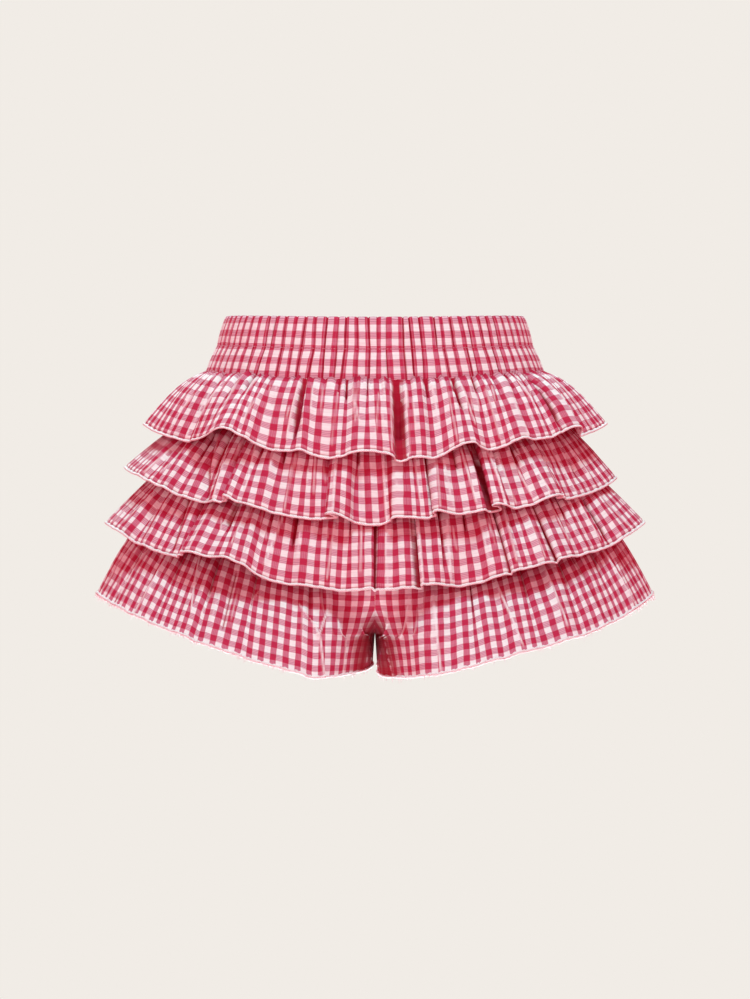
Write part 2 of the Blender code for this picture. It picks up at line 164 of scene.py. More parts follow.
# %% Camera
CAMERA_AWAY = 3.0  # metres, as all of the studio's measures
CAMERA_HEIGHT = -0.144
MM_PER_PIXEL = 0.793
SENSOR = 36.0
PICTURE_HIGH = 999
camera_data = bpy.data.cameras.new("studio_camera")
camera_data.sensor_width = SENSOR
camera_data.lens = SENSOR * CAMERA_AWAY / (PICTURE_HIGH * MM_PER_PIXEL * MM)
camera = add_object("studio_camera", camera_data)
camera.location = (0.0, -CAMERA_AWAY, CAMERA_HEIGHT)
camera.rotation_euler = (math.radians(90.0), 0.0, 0.0)
bpy.context.scene.camera = camera
bpy.context.scene.view_settings.view_transform = "Standard"
print("lens in mm:", round(camera_data.lens, 1))

# %% Floor and surroundings
FLOOR_DROP = -0.95
FLOOR_HALF = 30.0
BOUNCE_TONE = "FF8695"  # light that has bounced off the red cloth is rosy
BOUNCE_RANGE = {"From Min": -0.3, "From Max": 0.6, "To Min": 1.0, "To Max": 0.58}


def paint_floor():
    material = bpy.data.materials.new("pale_floor")
    tree = empty_tree(material)
    tone = {"Color": hex_colour(STUDIO_TONE), "Strength": 1.0}
    glow = add_node(tree, "ShaderNodeEmission", tone)
    add_node(tree, "ShaderNodeOutputMaterial", links={"Surface": glow.outputs[0]})
    return material


def add_floor():
    h = FLOOR_HALF
    corners = [(x, y, FLOOR_DROP) for x, y in ((-h, -h), (h, -h), (h, h), (-h, h))]
    mesh = bpy.data.meshes.new("studio_floor")
    mesh.from_pydata(corners, [], [(0, 1, 2, 3)])
    mesh.materials.append(paint_floor())
    floor = add_object("studio_floor", mesh)
    floor.visible_diffuse = False
    floor.visible_glossy = False


def paint_world():
    """The camera sees the plain tone. The cloth feels a rosy light, weaker from above."""
    world = bpy.data.worlds.new("studio")
    bpy.context.scene.world = world
    tree = empty_tree(world)
    seen = add_node(tree, "ShaderNodeBackground", {"Color": hex_colour(STUDIO_TONE)})
    way = add_node(tree, "ShaderNodeTexCoord").outputs["Generated"]
    height = add_node(tree, "ShaderNodeSeparateXYZ", links={0: way}).outputs[2]
    power = add_node(tree, "ShaderNodeMapRange", BOUNCE_RANGE, {"Value": height})
    light = {"Color": hex_colour(BOUNCE_TONE)}
    felt = add_node(tree, "ShaderNodeBackground", light, {"Strength": power.outputs[0]})
    path = add_node(tree, "ShaderNodeLightPath")
    links = {0: path.outputs["Is Camera Ray"], 1: felt.outputs[0], 2: seen.outputs[0]}
    both = add_node(tree, "ShaderNodeMixShader", links=links)
    add_node(tree, "ShaderNodeOutputWorld", links={"Surface": both.outputs[0]})


add_floor()
paint_world()
print("floor at", FLOOR_DROP, "m")

# %% Soft lights
Lamp = namedtuple("Lamp", "name place size power tone")
LAMPS = [
    Lamp("key", (0.2, -1.1, 2.3), 0.8, 56.0, "A4FFFD"),
    Lamp("fill", (-0.9, -2.8, 0.3), 1.6, 12.0, "FFF4F4"),
    Lamp("back", (-0.4, 1.5, 2.1), 0.9, 38.0, "B4FFFB"),
    Lamp("card", (0.0, 0.1, -0.85), 0.9, 14.0, "BCFFFD"),
]
LOOK_AT = Vector((0.0, 0.0, CAMERA_HEIGHT))
for lamp in LAMPS:
    light = bpy.data.lights.new(lamp.name, "AREA")
    light.shape = "DISK"
    light.size = lamp.size
    light.energy = lamp.power
    light.color = hex_colour(lamp.tone)[:3]
    light_object = add_object(lamp.name, light)
    light_object.location = lamp.place
    aim = LOOK_AT - Vector(lamp.place)
    light_object.rotation_euler = aim.to_track_quat("-Z", "Y").to_euler()
print("soft lights:", len(LAMPS))

# %% [markdown]
# ## Gingham cotton
#
# Gingham is a plain weave of even stripes, half of them dyed, both ways. Where two dyed stripes cross,
# the square is deep red. Where two undyed ones cross it is white. In the squares between, red and
# white threads take turns, which the eye sees as pink with fine lines. The squares with red warp look
# flatter and darker than those with red weft, where the lines run across.
#
# An image could hold the pattern, but a few maths nodes on the cloth's own coordinates are sharper and
# bend with the grain. Each mesh carries a UV map called grain, in millimetres: u runs round the body
# from thread to thread, v up from the hem. A triangle wave of each gives the stripes. Real threads are
# 0.3 mm apart, too fine for the picture, so the lines are drawn 1.3 mm apart. A second mark on the
# mesh, crest, is painted light: 1 gives a painted highlight on ridges, and -1 painted shade in folds,
# grooves, seams and hollows.

# %% Gingham sizes and colours
CHECK = 10.9  # mm from one red stripe to the next
STRIPE_EDGE = 0.35  # mm over which a stripe turns
LINE_STEP = 1.3  # mm between the drawn threads
LINE_EDGES = (0.1, 0.55)  # mm from its middle to where a drawn thread begins and ends to fade
WARP_LINES = 0.25  # strength of the lines in squares with red warp
WANDER = 1.6  # how far the weave strays, in mm to a unit of noise
WANDER_SCALE = 0.06
DEEP_RED = "C42C50"
WARP_PINK = "CD6681"
WEFT_PINK_DARK = "CA8298"
WEFT_PINK_PALE = "EBB6C2"
COTTON_WHITE = "FAF3F3"
# painted highlight on ridges: its colour, and the share of it at a full crest
PAINTED_HIGHLIGHT, PAINTED_HIGHLIGHT_SHARE = "FFF3F5", 0.9
# painted shade in folds, grooves and hollows: its colour, and the share of it at a full hollow
PAINTED_SHADE_RED, PAINTED_SHADE_SHARE = "AC0C2C", 0.96
SLUB_STRETCH = (0.04, 0.9, 0.0)  # slubs are long along the weft
SLUB_SHADES = (0.3, 0.7, 0.93, 1.05)  # from this noise to that, brightness goes from this to that
WEAVE_BUMP = (0.25, 0.0002)  # strength, and depth in metres
CRUMPLE_BUMP, CRUMPLE_SCALE = (0.5, 0.0012), 0.11
COTTON_ROUGH = 0.9
COTTON_SHINE = 0.2  # fibres shade each other, so less light glances off than off a smooth face
print("one square of the check:", CHECK / 2, "mm")


# %% Gingham material
def triangle(tree, source, half_period):
    """A wave that goes up and down evenly, between 0 and half_period."""
    return combine(tree, "PINGPONG", source, half_period)


def new_cotton(name):
    """A matt material, with its node tree, its shader and the cloth's grain."""
    material = bpy.data.materials.new(name)
    material.use_nodes = True
    tree = material.node_tree
    shader = tree.nodes["Principled BSDF"]
    shader.inputs["Roughness"].default_value = COTTON_ROUGH
    shader.inputs["Specular IOR Level"].default_value = COTTON_SHINE
    grain = add_node(tree, "ShaderNodeUVMap", uv_map="grain").outputs[0]
    return material, tree, shader, grain


def paint_gingham(name):
    material, tree, shader, grain = new_cotton(name)
    # The weave is never quite straight: it wanders by a fraction of a millimetre.
    vectors = {"kind": "ShaderNodeVectorMath"}
    stray = add_noise(tree, grain, WANDER_SCALE).outputs["Color"]
    stray = combine(tree, "SUBTRACT", stray, (0.5, 0.5, 0.5), **vectors)
    moved = combine(tree, "MULTIPLY_ADD", stray, (WANDER, WANDER, 0.0), grain, **vectors)
    u, v, _ = add_node(tree, "ShaderNodeSeparateXYZ", links={0: moved}).outputs
    edges = (CHECK / 4 - STRIPE_EDGE, CHECK / 4 + STRIPE_EDGE)
    warp = spread_range(tree, triangle(tree, u, CHECK / 2), *edges)
    weft = spread_range(tree, triangle(tree, v, CHECK / 2), *edges)
    across = spread_range(tree, triangle(tree, v, LINE_STEP / 2), *LINE_EDGES)
    down = spread_range(tree, triangle(tree, u, LINE_STEP / 2), *LINE_EDGES, 0.0, WARP_LINES)
    weft_pink = mix_colours(tree, across, WEFT_PINK_DARK, WEFT_PINK_PALE)
    warp_pink = mix_colours(tree, down, WARP_PINK, WEFT_PINK_PALE)
    white_row = mix_colours(tree, warp, COTTON_WHITE, warp_pink)
    red_row = mix_colours(tree, warp, weft_pink, DEEP_RED)
    woven = mix_colours(tree, weft, white_row, red_row)
    # Painted light from the crest mark: a highlight on ridges, and shade in folds, grooves and hollows.
    crest = add_node(tree, "ShaderNodeAttribute", attribute_name="crest").outputs["Fac"]
    pale = spread_range(tree, crest, 0.0, 1.0, 0.0, PAINTED_HIGHLIGHT_SHARE)
    dark = spread_range(tree, crest, 0.0, -1.0, 0.0, PAINTED_SHADE_SHARE)
    hollow = mix_colours(tree, dark, woven, PAINTED_SHADE_RED)
    cloth = mix_colours(tree, pale, hollow, PAINTED_HIGHLIGHT)
    # Slubs and dye: thicker threads and uneven colour, streaked along the weft.
    streaks = combine(tree, "MULTIPLY", grain, SLUB_STRETCH, **vectors)
    shade = spread_range(tree, add_noise(tree, streaks, 1.0).outputs[0], *SLUB_SHADES)
    links = {0: cloth, "Scale": shade}
    toned = add_node(tree, "ShaderNodeVectorMath", links=links, operation="SCALE")
    tree.links.new(toned.outputs[0], shader.inputs["Base Color"])
    fine = add_bump(tree, combine(tree, "ADD", across, down), *WEAVE_BUMP)
    crumple = add_noise(tree, grain, CRUMPLE_SCALE, 3.0).outputs[0]
    soft = add_bump(tree, crumple, *CRUMPLE_BUMP, fine)
    tree.links.new(soft, shader.inputs["Normal"])
    return material


GINGHAM = paint_gingham("gingham_poplin")
print("nodes in the gingham:", len(GINGHAM.node_tree.nodes))

# %% [markdown]
# ## Thread
#
# The ruffles' hems are finished with a rolled overlock: the machine rolls the raw edge and wraps it in
# soft white thread, which leaves a round cord about 2 mm thick with a slanting twist. The line of
# stitches between the waistband's casings is sewn in a pale pink thread. Both are matt and slightly
# fuzzy. The twist is drawn with a triangle wave along the cord, because its grain map has u in
# millimetres along the thread and v round it.

# %% Thread material
TWIST_STEP = 1.9  # mm from one wrap of the overlock to the next
WRAP_EDGE = 0.6  # mm over which a wrap turns pale
WEAR_SCALE = 0.35
WEAR_EDGES = (0.5, 0.72)  # noise above this lets the cloth's pink show through
WRAP_BUMP = (0.6, 0.0003)


def paint_thread(name, pale, dark, fleck):
    material, tree, shader, grain = new_cotton(name)
    u, v, _ = add_node(tree, "ShaderNodeSeparateXYZ", links={0: grain}).outputs
    slant = combine(tree, "ADD", u, v)
    wraps = spread_range(tree, triangle(tree, slant, TWIST_STEP / 2), 0.0, WRAP_EDGE)
    wear = add_noise(tree, grain, WEAR_SCALE, 3.0).outputs[0]
    gaps = spread_range(tree, wear, *WEAR_EDGES, 0.0, fleck)
    worn = mix_colours(tree, gaps, mix_colours(tree, wraps, dark, pale), WARP_PINK)
    tree.links.new(worn, shader.inputs["Base Color"])
    tree.links.new(add_bump(tree, wraps, *WRAP_BUMP), shader.inputs["Normal"])
    return material


OVERLOCK = paint_thread("overlock_thread", "FFFAFA", "F4DCE1", 0.3)
STITCH = paint_thread("stitch_thread", "E6A3B3", "C9607C", 0.0)
print("thread materials:", OVERLOCK.name, STITCH.name)

# %% [markdown]
# ## Lines round the body
#
# A dressmaker thinks of a garment as lines round a body: the waist's top edge, the casing's stitches,
# the seam of each ruffle. Each line here is an ellipse that also sags between the side seam and the
# centre. An angle, turn, says where on it we are: 0 at the centre front, a quarter turn at the wearer's
# left side seam. All the formulas take whole arrays of turns at once, which keeps them fast. Sizes are
# in millimetres until the mesh is made.

# %% Seam lines
Line = namedtuple("Line", "side side_z front front_z back back_z bow")
WAIST_TOP = Line(118.0, 0.0, 88.0, -4.0, 88.0, 0.0, 2.0)
CHANNEL = Line(124.5, -22.5, 95.0, -28.5, 96.0, -25.0, 2.0)
SEAM_1 = Line(133.5, -43.5, 102.0, -52.0, 104.0, -48.0, 2.0)
SEAM_2 = Line(143.0, -78.5, 111.5, -99.0, 114.0, -97.0, 1.3)
SEAM_3 = Line(163.0, -114.0, 120.5, -150.0, 124.5, -148.0, 1.5)
SEAM_4 = Line(179.0, -151.0, 125.0, -203.0, 131.0, -203.0, 1.6)
QUARTER = math.pi / 2
UP = np.array([0.0, 0.0, 1.0])
HALF_GAP = 0.15  # half the gap between two pieces at a seam
TINY = 1e-9


def smooth(share):
    """An even share from 0 to 1, made to start and end softly."""
    share = np.clip(share, 0.0, 1.0)
    return share * share * (3.0 - 2.0 * share)


def fade(away):
    """1 at 0, and evenly down to 0 at 1."""
    return np.clip(1.0 - away, 0, 1)


def between(start, end, share):
    return start + (end - start) * share


def join(*parts):
    """Points from arrays of their coordinates."""
    return np.stack(np.broadcast_arrays(*parts), axis=-1)


def unit(vectors):
    """Vectors of length 1 with the same directions."""
    return vectors / np.maximum(np.linalg.norm(vectors, axis=-1, keepdims=True), TINY)


def by_half(turn, front, back):
    return np.where(np.cos(turn) > 0, front, back)


def sag(turn, side, front, back, bow):
    """Height of a line that goes from one height at the sides to others at the centres."""
    return between(side, by_half(turn, front, back), np.abs(np.cos(turn)) ** bow)


def on_line(line, turn):
    depth = by_half(turn, line.front, line.back)
    z = sag(turn, line.side_z, line.front_z, line.back_z, line.bow)
    return join(line.side * np.sin(turn), -depth * np.cos(turn), z)


def outward(line, turn):
    """The level direction that points straight out of a line."""
    depth = by_half(turn, line.front, line.back)
    return unit(join(np.sin(turn) / line.side, -np.cos(turn) / depth, 0.0))


def sideways_round(turn):
    """The level direction that runs along the cloth."""
    return join(np.cos(turn), np.sin(turn), 0.0)


def lengths_along(points):
    """Running length of each row of a grid of points."""
    steps = np.linalg.norm(np.diff(points, axis=1), axis=2)
    return np.concatenate([np.zeros((len(points), 1)), np.cumsum(steps, axis=1)], axis=1)


round_seam = on_line(SEAM_1, np.linspace(0, 4 * QUARTER, 721))[None]
print("ruffle 1 is sewn on over", round(float(lengths_along(round_seam)[0, -1])), "mm")

# %% [markdown]
# ## How the gathers take up cloth
#
# A ruffle's hem is longer than its seam, because the same strip of cloth is gathered at the top. Between
# two folds the cloth lies nearly flat, so a check keeps its width all the way down, and the spare
# length is tucked out of sight in narrow folds. To get that look, each column of the mesh stands for
# one thread of the warp. A fold hides some millimetres of cloth: the columns in it are squeezed
# together round the body, and pushed inwards so that no thread is lost. Each fold has a row in a table:
#
# - place: where it meets the hem, as a share of the half width seen from the front, -1 to 1
# - hide: how much cloth it swallows, and slot: how wide its opening is
# - lean: how far one lip laps over the other, and to which side
# - reach: the share of the way down to which it stays a narrow slot
# - hem and top: the share of that cloth which it hides at the hem and at the seam. Sewing it on works
#   out the one at the seam, from the room there.

# %% Folds in a strip of cloth
Fold = namedtuple("Fold", "place hide slot lean reach hem top", defaults=[1.0])
SLOT_EDGE = 0.12  # share of a fold's width over which its lips bend
SLOT_BOTTOM = 1.6  # power of the curve down to its bottom
SLOT_DEEP = 0.45  # its depth, as a share of the cloth that goes in and out again
FOLD_OPENS = 0.3  # share of the way down over which a fold opens into a hollow
FOLD_SPREAD = 1.6  # how much wider the hollow is
HOLLOW_DEEP = 0.5  # and how deep, as a share of the slot
HOLLOW_PAINTED_SHADE = 0.3  # and how much painted shade it gets
PAINTED_SHADE_FROM = 1.2  # mm of depth at which painted shade begins inside a fold
PAINTED_SHADE_OVER = 2.4  # and over how many more it becomes full
LEAST_WEIGHT = 0.05
LEAST_APART = 3.0  # mm between two folds


def rows_of(kind, table):
    """Give the columns of a table their names."""
    return [kind(*row) for row in table]


def fold_strength(fold, fall):
    """The share that a fold hides in each row. fall is a column: the share of the way down."""
    return between(fold.top, fold.hem, fall)


def squeeze(cloth, folds, at, fall):
    """How much round the body each millimetre of cloth covers, in rows going down."""
    weight = np.ones((len(fall), len(cloth)))
    for fold, centre in zip(folds, at):
        width = fold.hide + fold.slot
        near = np.clip((0.5 - np.abs(cloth - centre) / width) / SLOT_EDGE, 0, 1) / (1 - SLOT_EDGE)
        weight -= fold.hide / width * fold_strength(fold, fall) * near
    return np.maximum(weight, LEAST_WEIGHT)


def slots(cloth, folds, at, fall):
    """How deep the folds push each point in, how far they pull it sideways, and their painted shade."""
    deep, aside, dark = np.zeros((3, len(fall), len(cloth)))
    for fold, centre in zip(folds, at):
        width = fold.hide + fold.slot
        hidden = fold.hide * fold_strength(fold, fall)
        depth = SLOT_DEEP * np.sqrt(width**2 - (width - hidden) ** 2)
        opened = smooth((fall - fold.reach) / FOLD_OPENS + 0.5)
        far = np.abs(2.0 * (cloth - centre) / width)
        slot = fade(far**SLOT_BOTTOM)
        hollow = fade((far / (1.0 + FOLD_SPREAD)) ** 2) ** 2
        deep += depth * between(slot, HOLLOW_DEEP * hollow, opened)
        aside += depth * fold.lean * slot * (1.0 - opened)
        # painted shade inside each fold, darker where it is deeper
        inside = depth * (slot * (1.0 - opened) + HOLLOW_PAINTED_SHADE * hollow * opened)
        dark = np.maximum(dark, np.clip((inside - PAINTED_SHADE_FROM) / PAINTED_SHADE_OVER, 0, 1))
    return deep, aside, dark


def where_in_cloth(places_length, folds, halves, ease):
    """Where each fold lies in the flat strip, from where it lies along the hem."""
    at, used = [], 0.0
    for length, fold, share in zip(places_length, folds, halves):
        hidden = fold.hide * fold.hem * share
        before = hidden / 2 if share == 1.0 else (hidden if length > 0 else 0.0)
        at.append(ease * length + used + before)
        used += hidden
    return at, ease * places_length[-1] + used


def move_to_red(at, halves, phase):
    """Folds tend to form along the red stripes, whose dyed threads are stiffer."""
    moved = [at[0]]
    for spot, share in zip(at[1:], halves[1:]):
        red = (round((spot + phase) / CHECK - 0.5) + 0.5) * CHECK - phase
        free = share == 1.0 and red - moved[-1] > 0.9 * CHECK
        moved.append(red if free else max(spot, moved[-1] + LEAST_APART))
    return moved


deep = SLOT_DEEP * math.sqrt(13**2 - 3**2)
print("a fold that hides 10 mm in a 3 mm slot is", round(deep, 1), "mm deep")

# %% [markdown]
# ## Small gathers and round puffs
#
# Beside the main folds the seam has many small puckers, a few millimetres wide. They stand out at the
# seam and die away at different heights. Between main folds the cloth also bows out in a low puff.
# Both are made from uneven spacings with a sharp valley and a round crest. The random numbers come
# from a seed for each piece, so every run gives the same cloth.

# %% Puckers, ripples and puffs
Pucker = namedtuple("Pucker", "wide high deepest")
RUFFLE_PUCKER = Pucker(6.5, 2.8, 0.4)  # mm, mm, and the share of the way down that it can reach
LEG_PUCKER = Pucker(8.0, 1.6, 0.5)
PUCKER_UNEVEN = 0.5
PUCKER_LEAST = 0.3  # share of the full height
PUCKER_SHORTEST = 0.1  # share of the way down
PUCKER_ROUND = 1.6  # power of its round crest
SIDES_LONGER = 1.8  # how much further down puckers run at the side seams
RIPPLES = [(46.0, 0.9), (27.0, 0.7), (17.0, 0.45)]  # length and height, in mm
RIPPLE_WANDER = 0.35  # share of its length by which a ripple strays
RIPPLE_BEND = 2.3  # lengths over which it does
RIPPLE_DRIFT = 1.2  # radians that it moves sideways on the way down
PUFF_SHARE = 0.45  # depth of the dent at a fold, as a share of half the cloth that it hides


def uneven_knots(widths, total):
    """Places one after another with these widths, stretched to reach a total."""
    knots = np.concatenate([[0.0], np.cumsum(widths)])
    return knots * (total / knots[-1])


def between_knots(cloth, knots):
    """Which span each place is in, and how far along it."""
    which = np.clip(np.searchsorted(knots, cloth, side="right") - 1, 0, len(knots) - 2)
    return which, (cloth - knots[which]) / (knots[which + 1] - knots[which])


def puckers(cloth, fall, seed, sideways, size=RUFFLE_PUCKER):
    """Height of the small gathers below a seam. They run further down near the sides."""
    dice = np.random.default_rng(seed)
    count = int(cloth[-1] / size.wide) + 2
    widths = size.wide * (1 + PUCKER_UNEVEN * dice.uniform(-1, 1, count))
    height = size.high * dice.uniform(PUCKER_LEAST, 1.0, count)
    which, share = between_knots(cloth, uneven_knots(widths, cloth[-1]))
    reach = dice.uniform(PUCKER_SHORTEST, size.deepest, count)[which]
    reach = reach * (1.0 + SIDES_LONGER * sideways**3)
    crest = 1.0 - np.abs(2.0 * share - 1.0) ** PUCKER_ROUND
    return height[which] * crest * np.exp(-((fall / reach) ** 2))


def ripples(cloth, fall, seed, size=1.0):
    """Long low waves in the cloth, which drift a little on the way down."""
    dice = np.random.default_rng(seed + 500)
    height = np.zeros((len(fall), len(cloth)))
    for length, high in RIPPLES:
        phase, bend, sway = dice.uniform(0, 2 * math.pi, 3)
        wander = RIPPLE_WANDER * length * np.sin(cloth / (RIPPLE_BEND * length) + bend)
        drift = RIPPLE_DRIFT * np.sin(1.5 * fall + sway)
        height += high * np.sin(2 * math.pi * (cloth + wander) / length + phase + drift)
    return size * height * smooth(fall / 0.5)


def puffs(cloth, folds, at, fall, share=PUFF_SHARE):
    """The low bow of the cloth between main folds, as a dent towards each fold."""
    dent = np.zeros((len(fall), len(cloth)))
    for left, right, fold_l, fold_r in zip(at, at[1:], folds, folds[1:]):
        inside = (cloth >= left) & (cloth <= right)
        along = (cloth[inside] - left) / (right - left)
        for fold, near in ((fold_l, along), (fold_r, 1.0 - along)):
            deep = share * 0.5 * fold.hide * fold_strength(fold, fall)
            dent[:, inside] += deep * fade(2.0 * near) ** 2
    return dent


print("puckers in 500 mm of cloth: about", int(500 / RUFFLE_PUCKER.wide))

# %% [markdown]
# ## Creases
#
# Where gathered cloth was pressed or pinched it keeps thin ridges and troughs. Their shape catches the
# light, and a painted highlight on each ridge and painted shade in each trough make fine bright or dark
# lines of them. Each is a straight run from one place to another on a piece, given as its place at its
# top and bottom, how far down it starts and ends, its height (below 0 for a trough) and its half width
# in millimetres.

# %% Creases
Crease = namedtuple("Crease", "place_top fall_top place_low fall_low height wide")
CREASE_END = 0.08  # share of the way down over which a crease fades at each end
CREASE_SHARP = 1.5  # power of its height towards its middle
HIGHLIGHT_HALF = 1.35  # mm on each side of a ridge that gets a painted highlight
HIGHLIGHT_FULL = 1.25  # height of a ridge whose painted highlight is full
TROUGH_SHADE_HALF = 1.5  # the same for the painted shade of a trough
TROUGH_SHADE_FULL = 3.0
FINE_TOP = 0.6  # before a power that draws most of them up to the seam
FINE_LONG = (0.12, 0.4)
FINE_HIGH = (0.35, 1.0)
FINE_DRIFT = 0.02
FINE_END = 0.99
FINE_WIDE = 2.0


def creases(table, where, fall, spread):
    """Height of the creases and their painted light, from 1 (highlight on a crest) to -1 (shade in a
    trough).

    where is a place or a turn, and spread the millimetres to one unit of it.
    """
    height, crest = np.zeros((2, *where.shape))
    down = np.broadcast_to(fall, where.shape)
    for line in table:
        share = (down - line.fall_top) / (line.fall_low - line.fall_top)
        centre = between(line.place_top, line.place_low, np.clip(share, 0, 1))
        away = np.abs(where - centre) * spread
        ends = smooth((down - line.fall_top) / CREASE_END + 0.5)
        ends = ends * smooth((line.fall_low - down) / CREASE_END + 0.5)
        height += line.height * fade(away / line.wide) ** CREASE_SHARP * ends
        # painted light: a highlight along each ridge, shade along each trough
        half, full = (HIGHLIGHT_HALF, HIGHLIGHT_FULL) if line.height > 0 else (TROUGH_SHADE_HALF, TROUGH_SHADE_FULL)
        painted_light_mark = min(max(line.height / full, -1.0), 1.0) * fade(away / half) * ends
        crest = np.where(np.abs(painted_light_mark) > np.abs(crest), painted_light_mark, crest)
    return height, crest


def fine_creases(seed, count, low, high):
    """A table of small random creases, most of them near the seam."""
    dice = np.random.default_rng(seed + 900)
    table = []
    for _ in range(count):
        place = dice.uniform(low, high)
        top = dice.uniform(0.0, FINE_TOP) ** 1.5
        long = dice.uniform(*FINE_LONG)
        height = dice.uniform(*FINE_HIGH) * dice.choice([1.0, 1.0, -1.0])
        place_low = place + dice.uniform(-FINE_DRIFT, FINE_DRIFT)
        place_low = min(max(place_low, -FINE_END), FINE_END)
        table.append(Crease(place, top, place_low, min(top + long, 1.0), height, FINE_WIDE))
    return table


def spread_of(points, where):
    """Millimetres of cloth to a unit of where, at each point of a grid."""
    return np.linalg.norm(np.gradient(points, axis=1), axis=-1) / np.gradient(where, axis=1)


print("creases fade over", CREASE_END, "of the drop")

# %% [markdown]
# ## From a grid to a shell
#
# Real poplin is about 0.3 mm thick. The shell is drawn at 0.5 mm, so that its edge can be seen. Its
# two faces are the grid moved out and in by half of that, square to the cloth, and a strip of faces
# closes the border. The grain map goes on the same points.

# %% Cloth shell
CLOTH_THICK = 0.5
SHARP_ANGLE = math.radians(75.0)


def facing(points):
    """The outward direction at each point of a grid of rows going down and columns going round."""
    return unit(np.cross(np.gradient(points, axis=0), np.gradient(points, axis=1)))


def quads(*corners):
    return np.stack(corners, axis=-1).reshape(-1, 4)


def shell_faces(rows, columns):
    """Faces of two grids of points, one behind the other, and of the strip that joins them."""
    index = np.arange(rows * columns).reshape(rows, columns)
    outer = quads(index[:-1, :-1], index[1:, :-1], index[1:, 1:], index[:-1, 1:])
    shift = rows * columns
    border = np.concatenate([index[0], index[1:, -1], index[-1, -2::-1], index[-2:0:-1, 0]])
    after = np.roll(border, -1)
    strip = quads(border, after, after + shift, border + shift)
    return np.concatenate([outer, outer[:, ::-1] + shift, strip]).tolist()


def make_mesh(name, points, faces, grain, material, crest=None):
    """A mesh from arrays in millimetres, with its grain map given point by point."""
    mesh = bpy.data.meshes.new(name)
    mesh.from_pydata((points * MM).tolist(), [], faces)
    corners = np.zeros(len(mesh.loops), np.int32)
    mesh.loops.foreach_get("vertex_index", corners)
    grain_map = mesh.uv_layers.new(name="grain")
    grain_map.uv.foreach_set("vector", grain[corners].astype(np.float32).ravel())
    # crest is painted light: a highlight on ridges, shade in folds, grooves and hollows
    if crest is not None:
        painted_light_marks = mesh.attributes.new("crest", "FLOAT", "POINT")
        painted_light_marks.data.foreach_set("value", crest.astype(np.float32).ravel())
    mesh.materials.append(material)
    mesh.shade_smooth()
    mesh.set_sharp_from_angle(angle=SHARP_ANGLE)
    mesh.update()
    piece = add_object(name, mesh)
    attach(piece, "root")
    return piece


def sew_shell(node, outer, inner, grain, crest):
    """A closed shell between two grids, in place of a CAD node. crest is painted light on its outer face.
    """
    points = np.concatenate([outer.reshape(-1, 3), inner.reshape(-1, 3)])
    painted_light_marks = np.zeros((2, *outer.shape[:2]))
    painted_light_marks[0] = crest
    twice = np.tile(grain.reshape(-1, 2), (2, 1))
    faces = shell_faces(*outer.shape[:2])
    piece = make_mesh(node + "_cloth", points, faces, twice, GINGHAM, painted_light_marks)
    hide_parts(node)
    return piece


def sew_cloth(node, middle, grain, crest=0.0):
    half = facing(middle) * CLOTH_THICK / 2
    return sew_shell(node, middle + half, middle - half, grain, crest)


print("faces in a shell of 10 by 10 points:", len(shell_faces(10, 10)))

# %% [markdown]
# ## Rolled edges
#
# The overlocked edge is a tube along the hem. Its thickness swells a little with every wrap of thread.

# %% Edge cord
EDGE_SIDES = 6
Cord = namedtuple("Cord", "radius flat swell")  # flat: its thickness, as a share of its height
RUFFLE_CORD = Cord(1.05, 0.6, 0.1)
LEG_CORD = Cord(1.3, 0.9, 0.35)


def rings(centres, first, second, thick, sides):
    """Rings of points round centres, in the plane of two directions."""
    angle = np.linspace(0, 2 * math.pi, sides, endpoint=False)[:, None]
    ring = first[..., None, :] * np.cos(angle) + second[..., None, :] * np.sin(angle)
    return centres[..., None, :] + ring * np.asarray(thick)[..., None, None]


def thread_grain(along, radius, sides):
    """The grain map of a thread: u along it, and v round it, in millimetres."""
    angle = np.linspace(0, 2 * math.pi, sides, endpoint=False)
    return join(along[..., None], angle * radius).reshape(-1, 2)


def tube_faces(count, sides, start=0):
    """Faces of a closed tube of rings, with a cap at each end."""
    index = start + np.arange(count * sides).reshape(count, sides)
    turned = np.roll(index, -1, axis=1)
    wall = quads(index[:-1], index[1:], turned[1:], turned[:-1])
    return [*wall.tolist(), index[0].tolist(), index[-1][::-1].tolist()]


def roll_edge(name, middle, cord):
    """A closed cord along the last row of a grid of points, a little flattened on the cloth."""
    line = middle[-1]
    over = unit(line - middle[-2])
    side = unit(np.cross(np.gradient(line, axis=0), over))
    along = lengths_along(line[None])[0]
    thick = cord.radius * (1.0 + cord.swell * np.sin(2 * math.pi * along / TWIST_STEP))
    points = rings(line, side * cord.flat, over, thick, EDGE_SIDES)
    grain = thread_grain(along, cord.radius, EDGE_SIDES)
    faces = tube_faces(len(line), EDGE_SIDES)
    return make_mesh(name, points.reshape(-1, 3), faces, grain, OVERLOCK)


print("edge cords have", EDGE_SIDES, "sides")

# %% [markdown]
# ## Hem waves
#
# A hem of gathered cloth rises and falls, and where a fold runs into it, the edge steps up: one side
# of the fold laps in front of the other. The table of a hem has its rise in millimetres at places from
# the wearer's right side seam, -1, to the left, 1. A curve goes through them that never overshoots, so
# a step stays a step. The back of the garment isn't in the photograph. It has the same strips of
# cloth, so it gets the same waves as seen from behind.

# %% Hem curves
Wave = namedtuple("Wave", "place rise")
SIDE_MEET = 8  # power of the share by which back and front waves are joined at the side seams


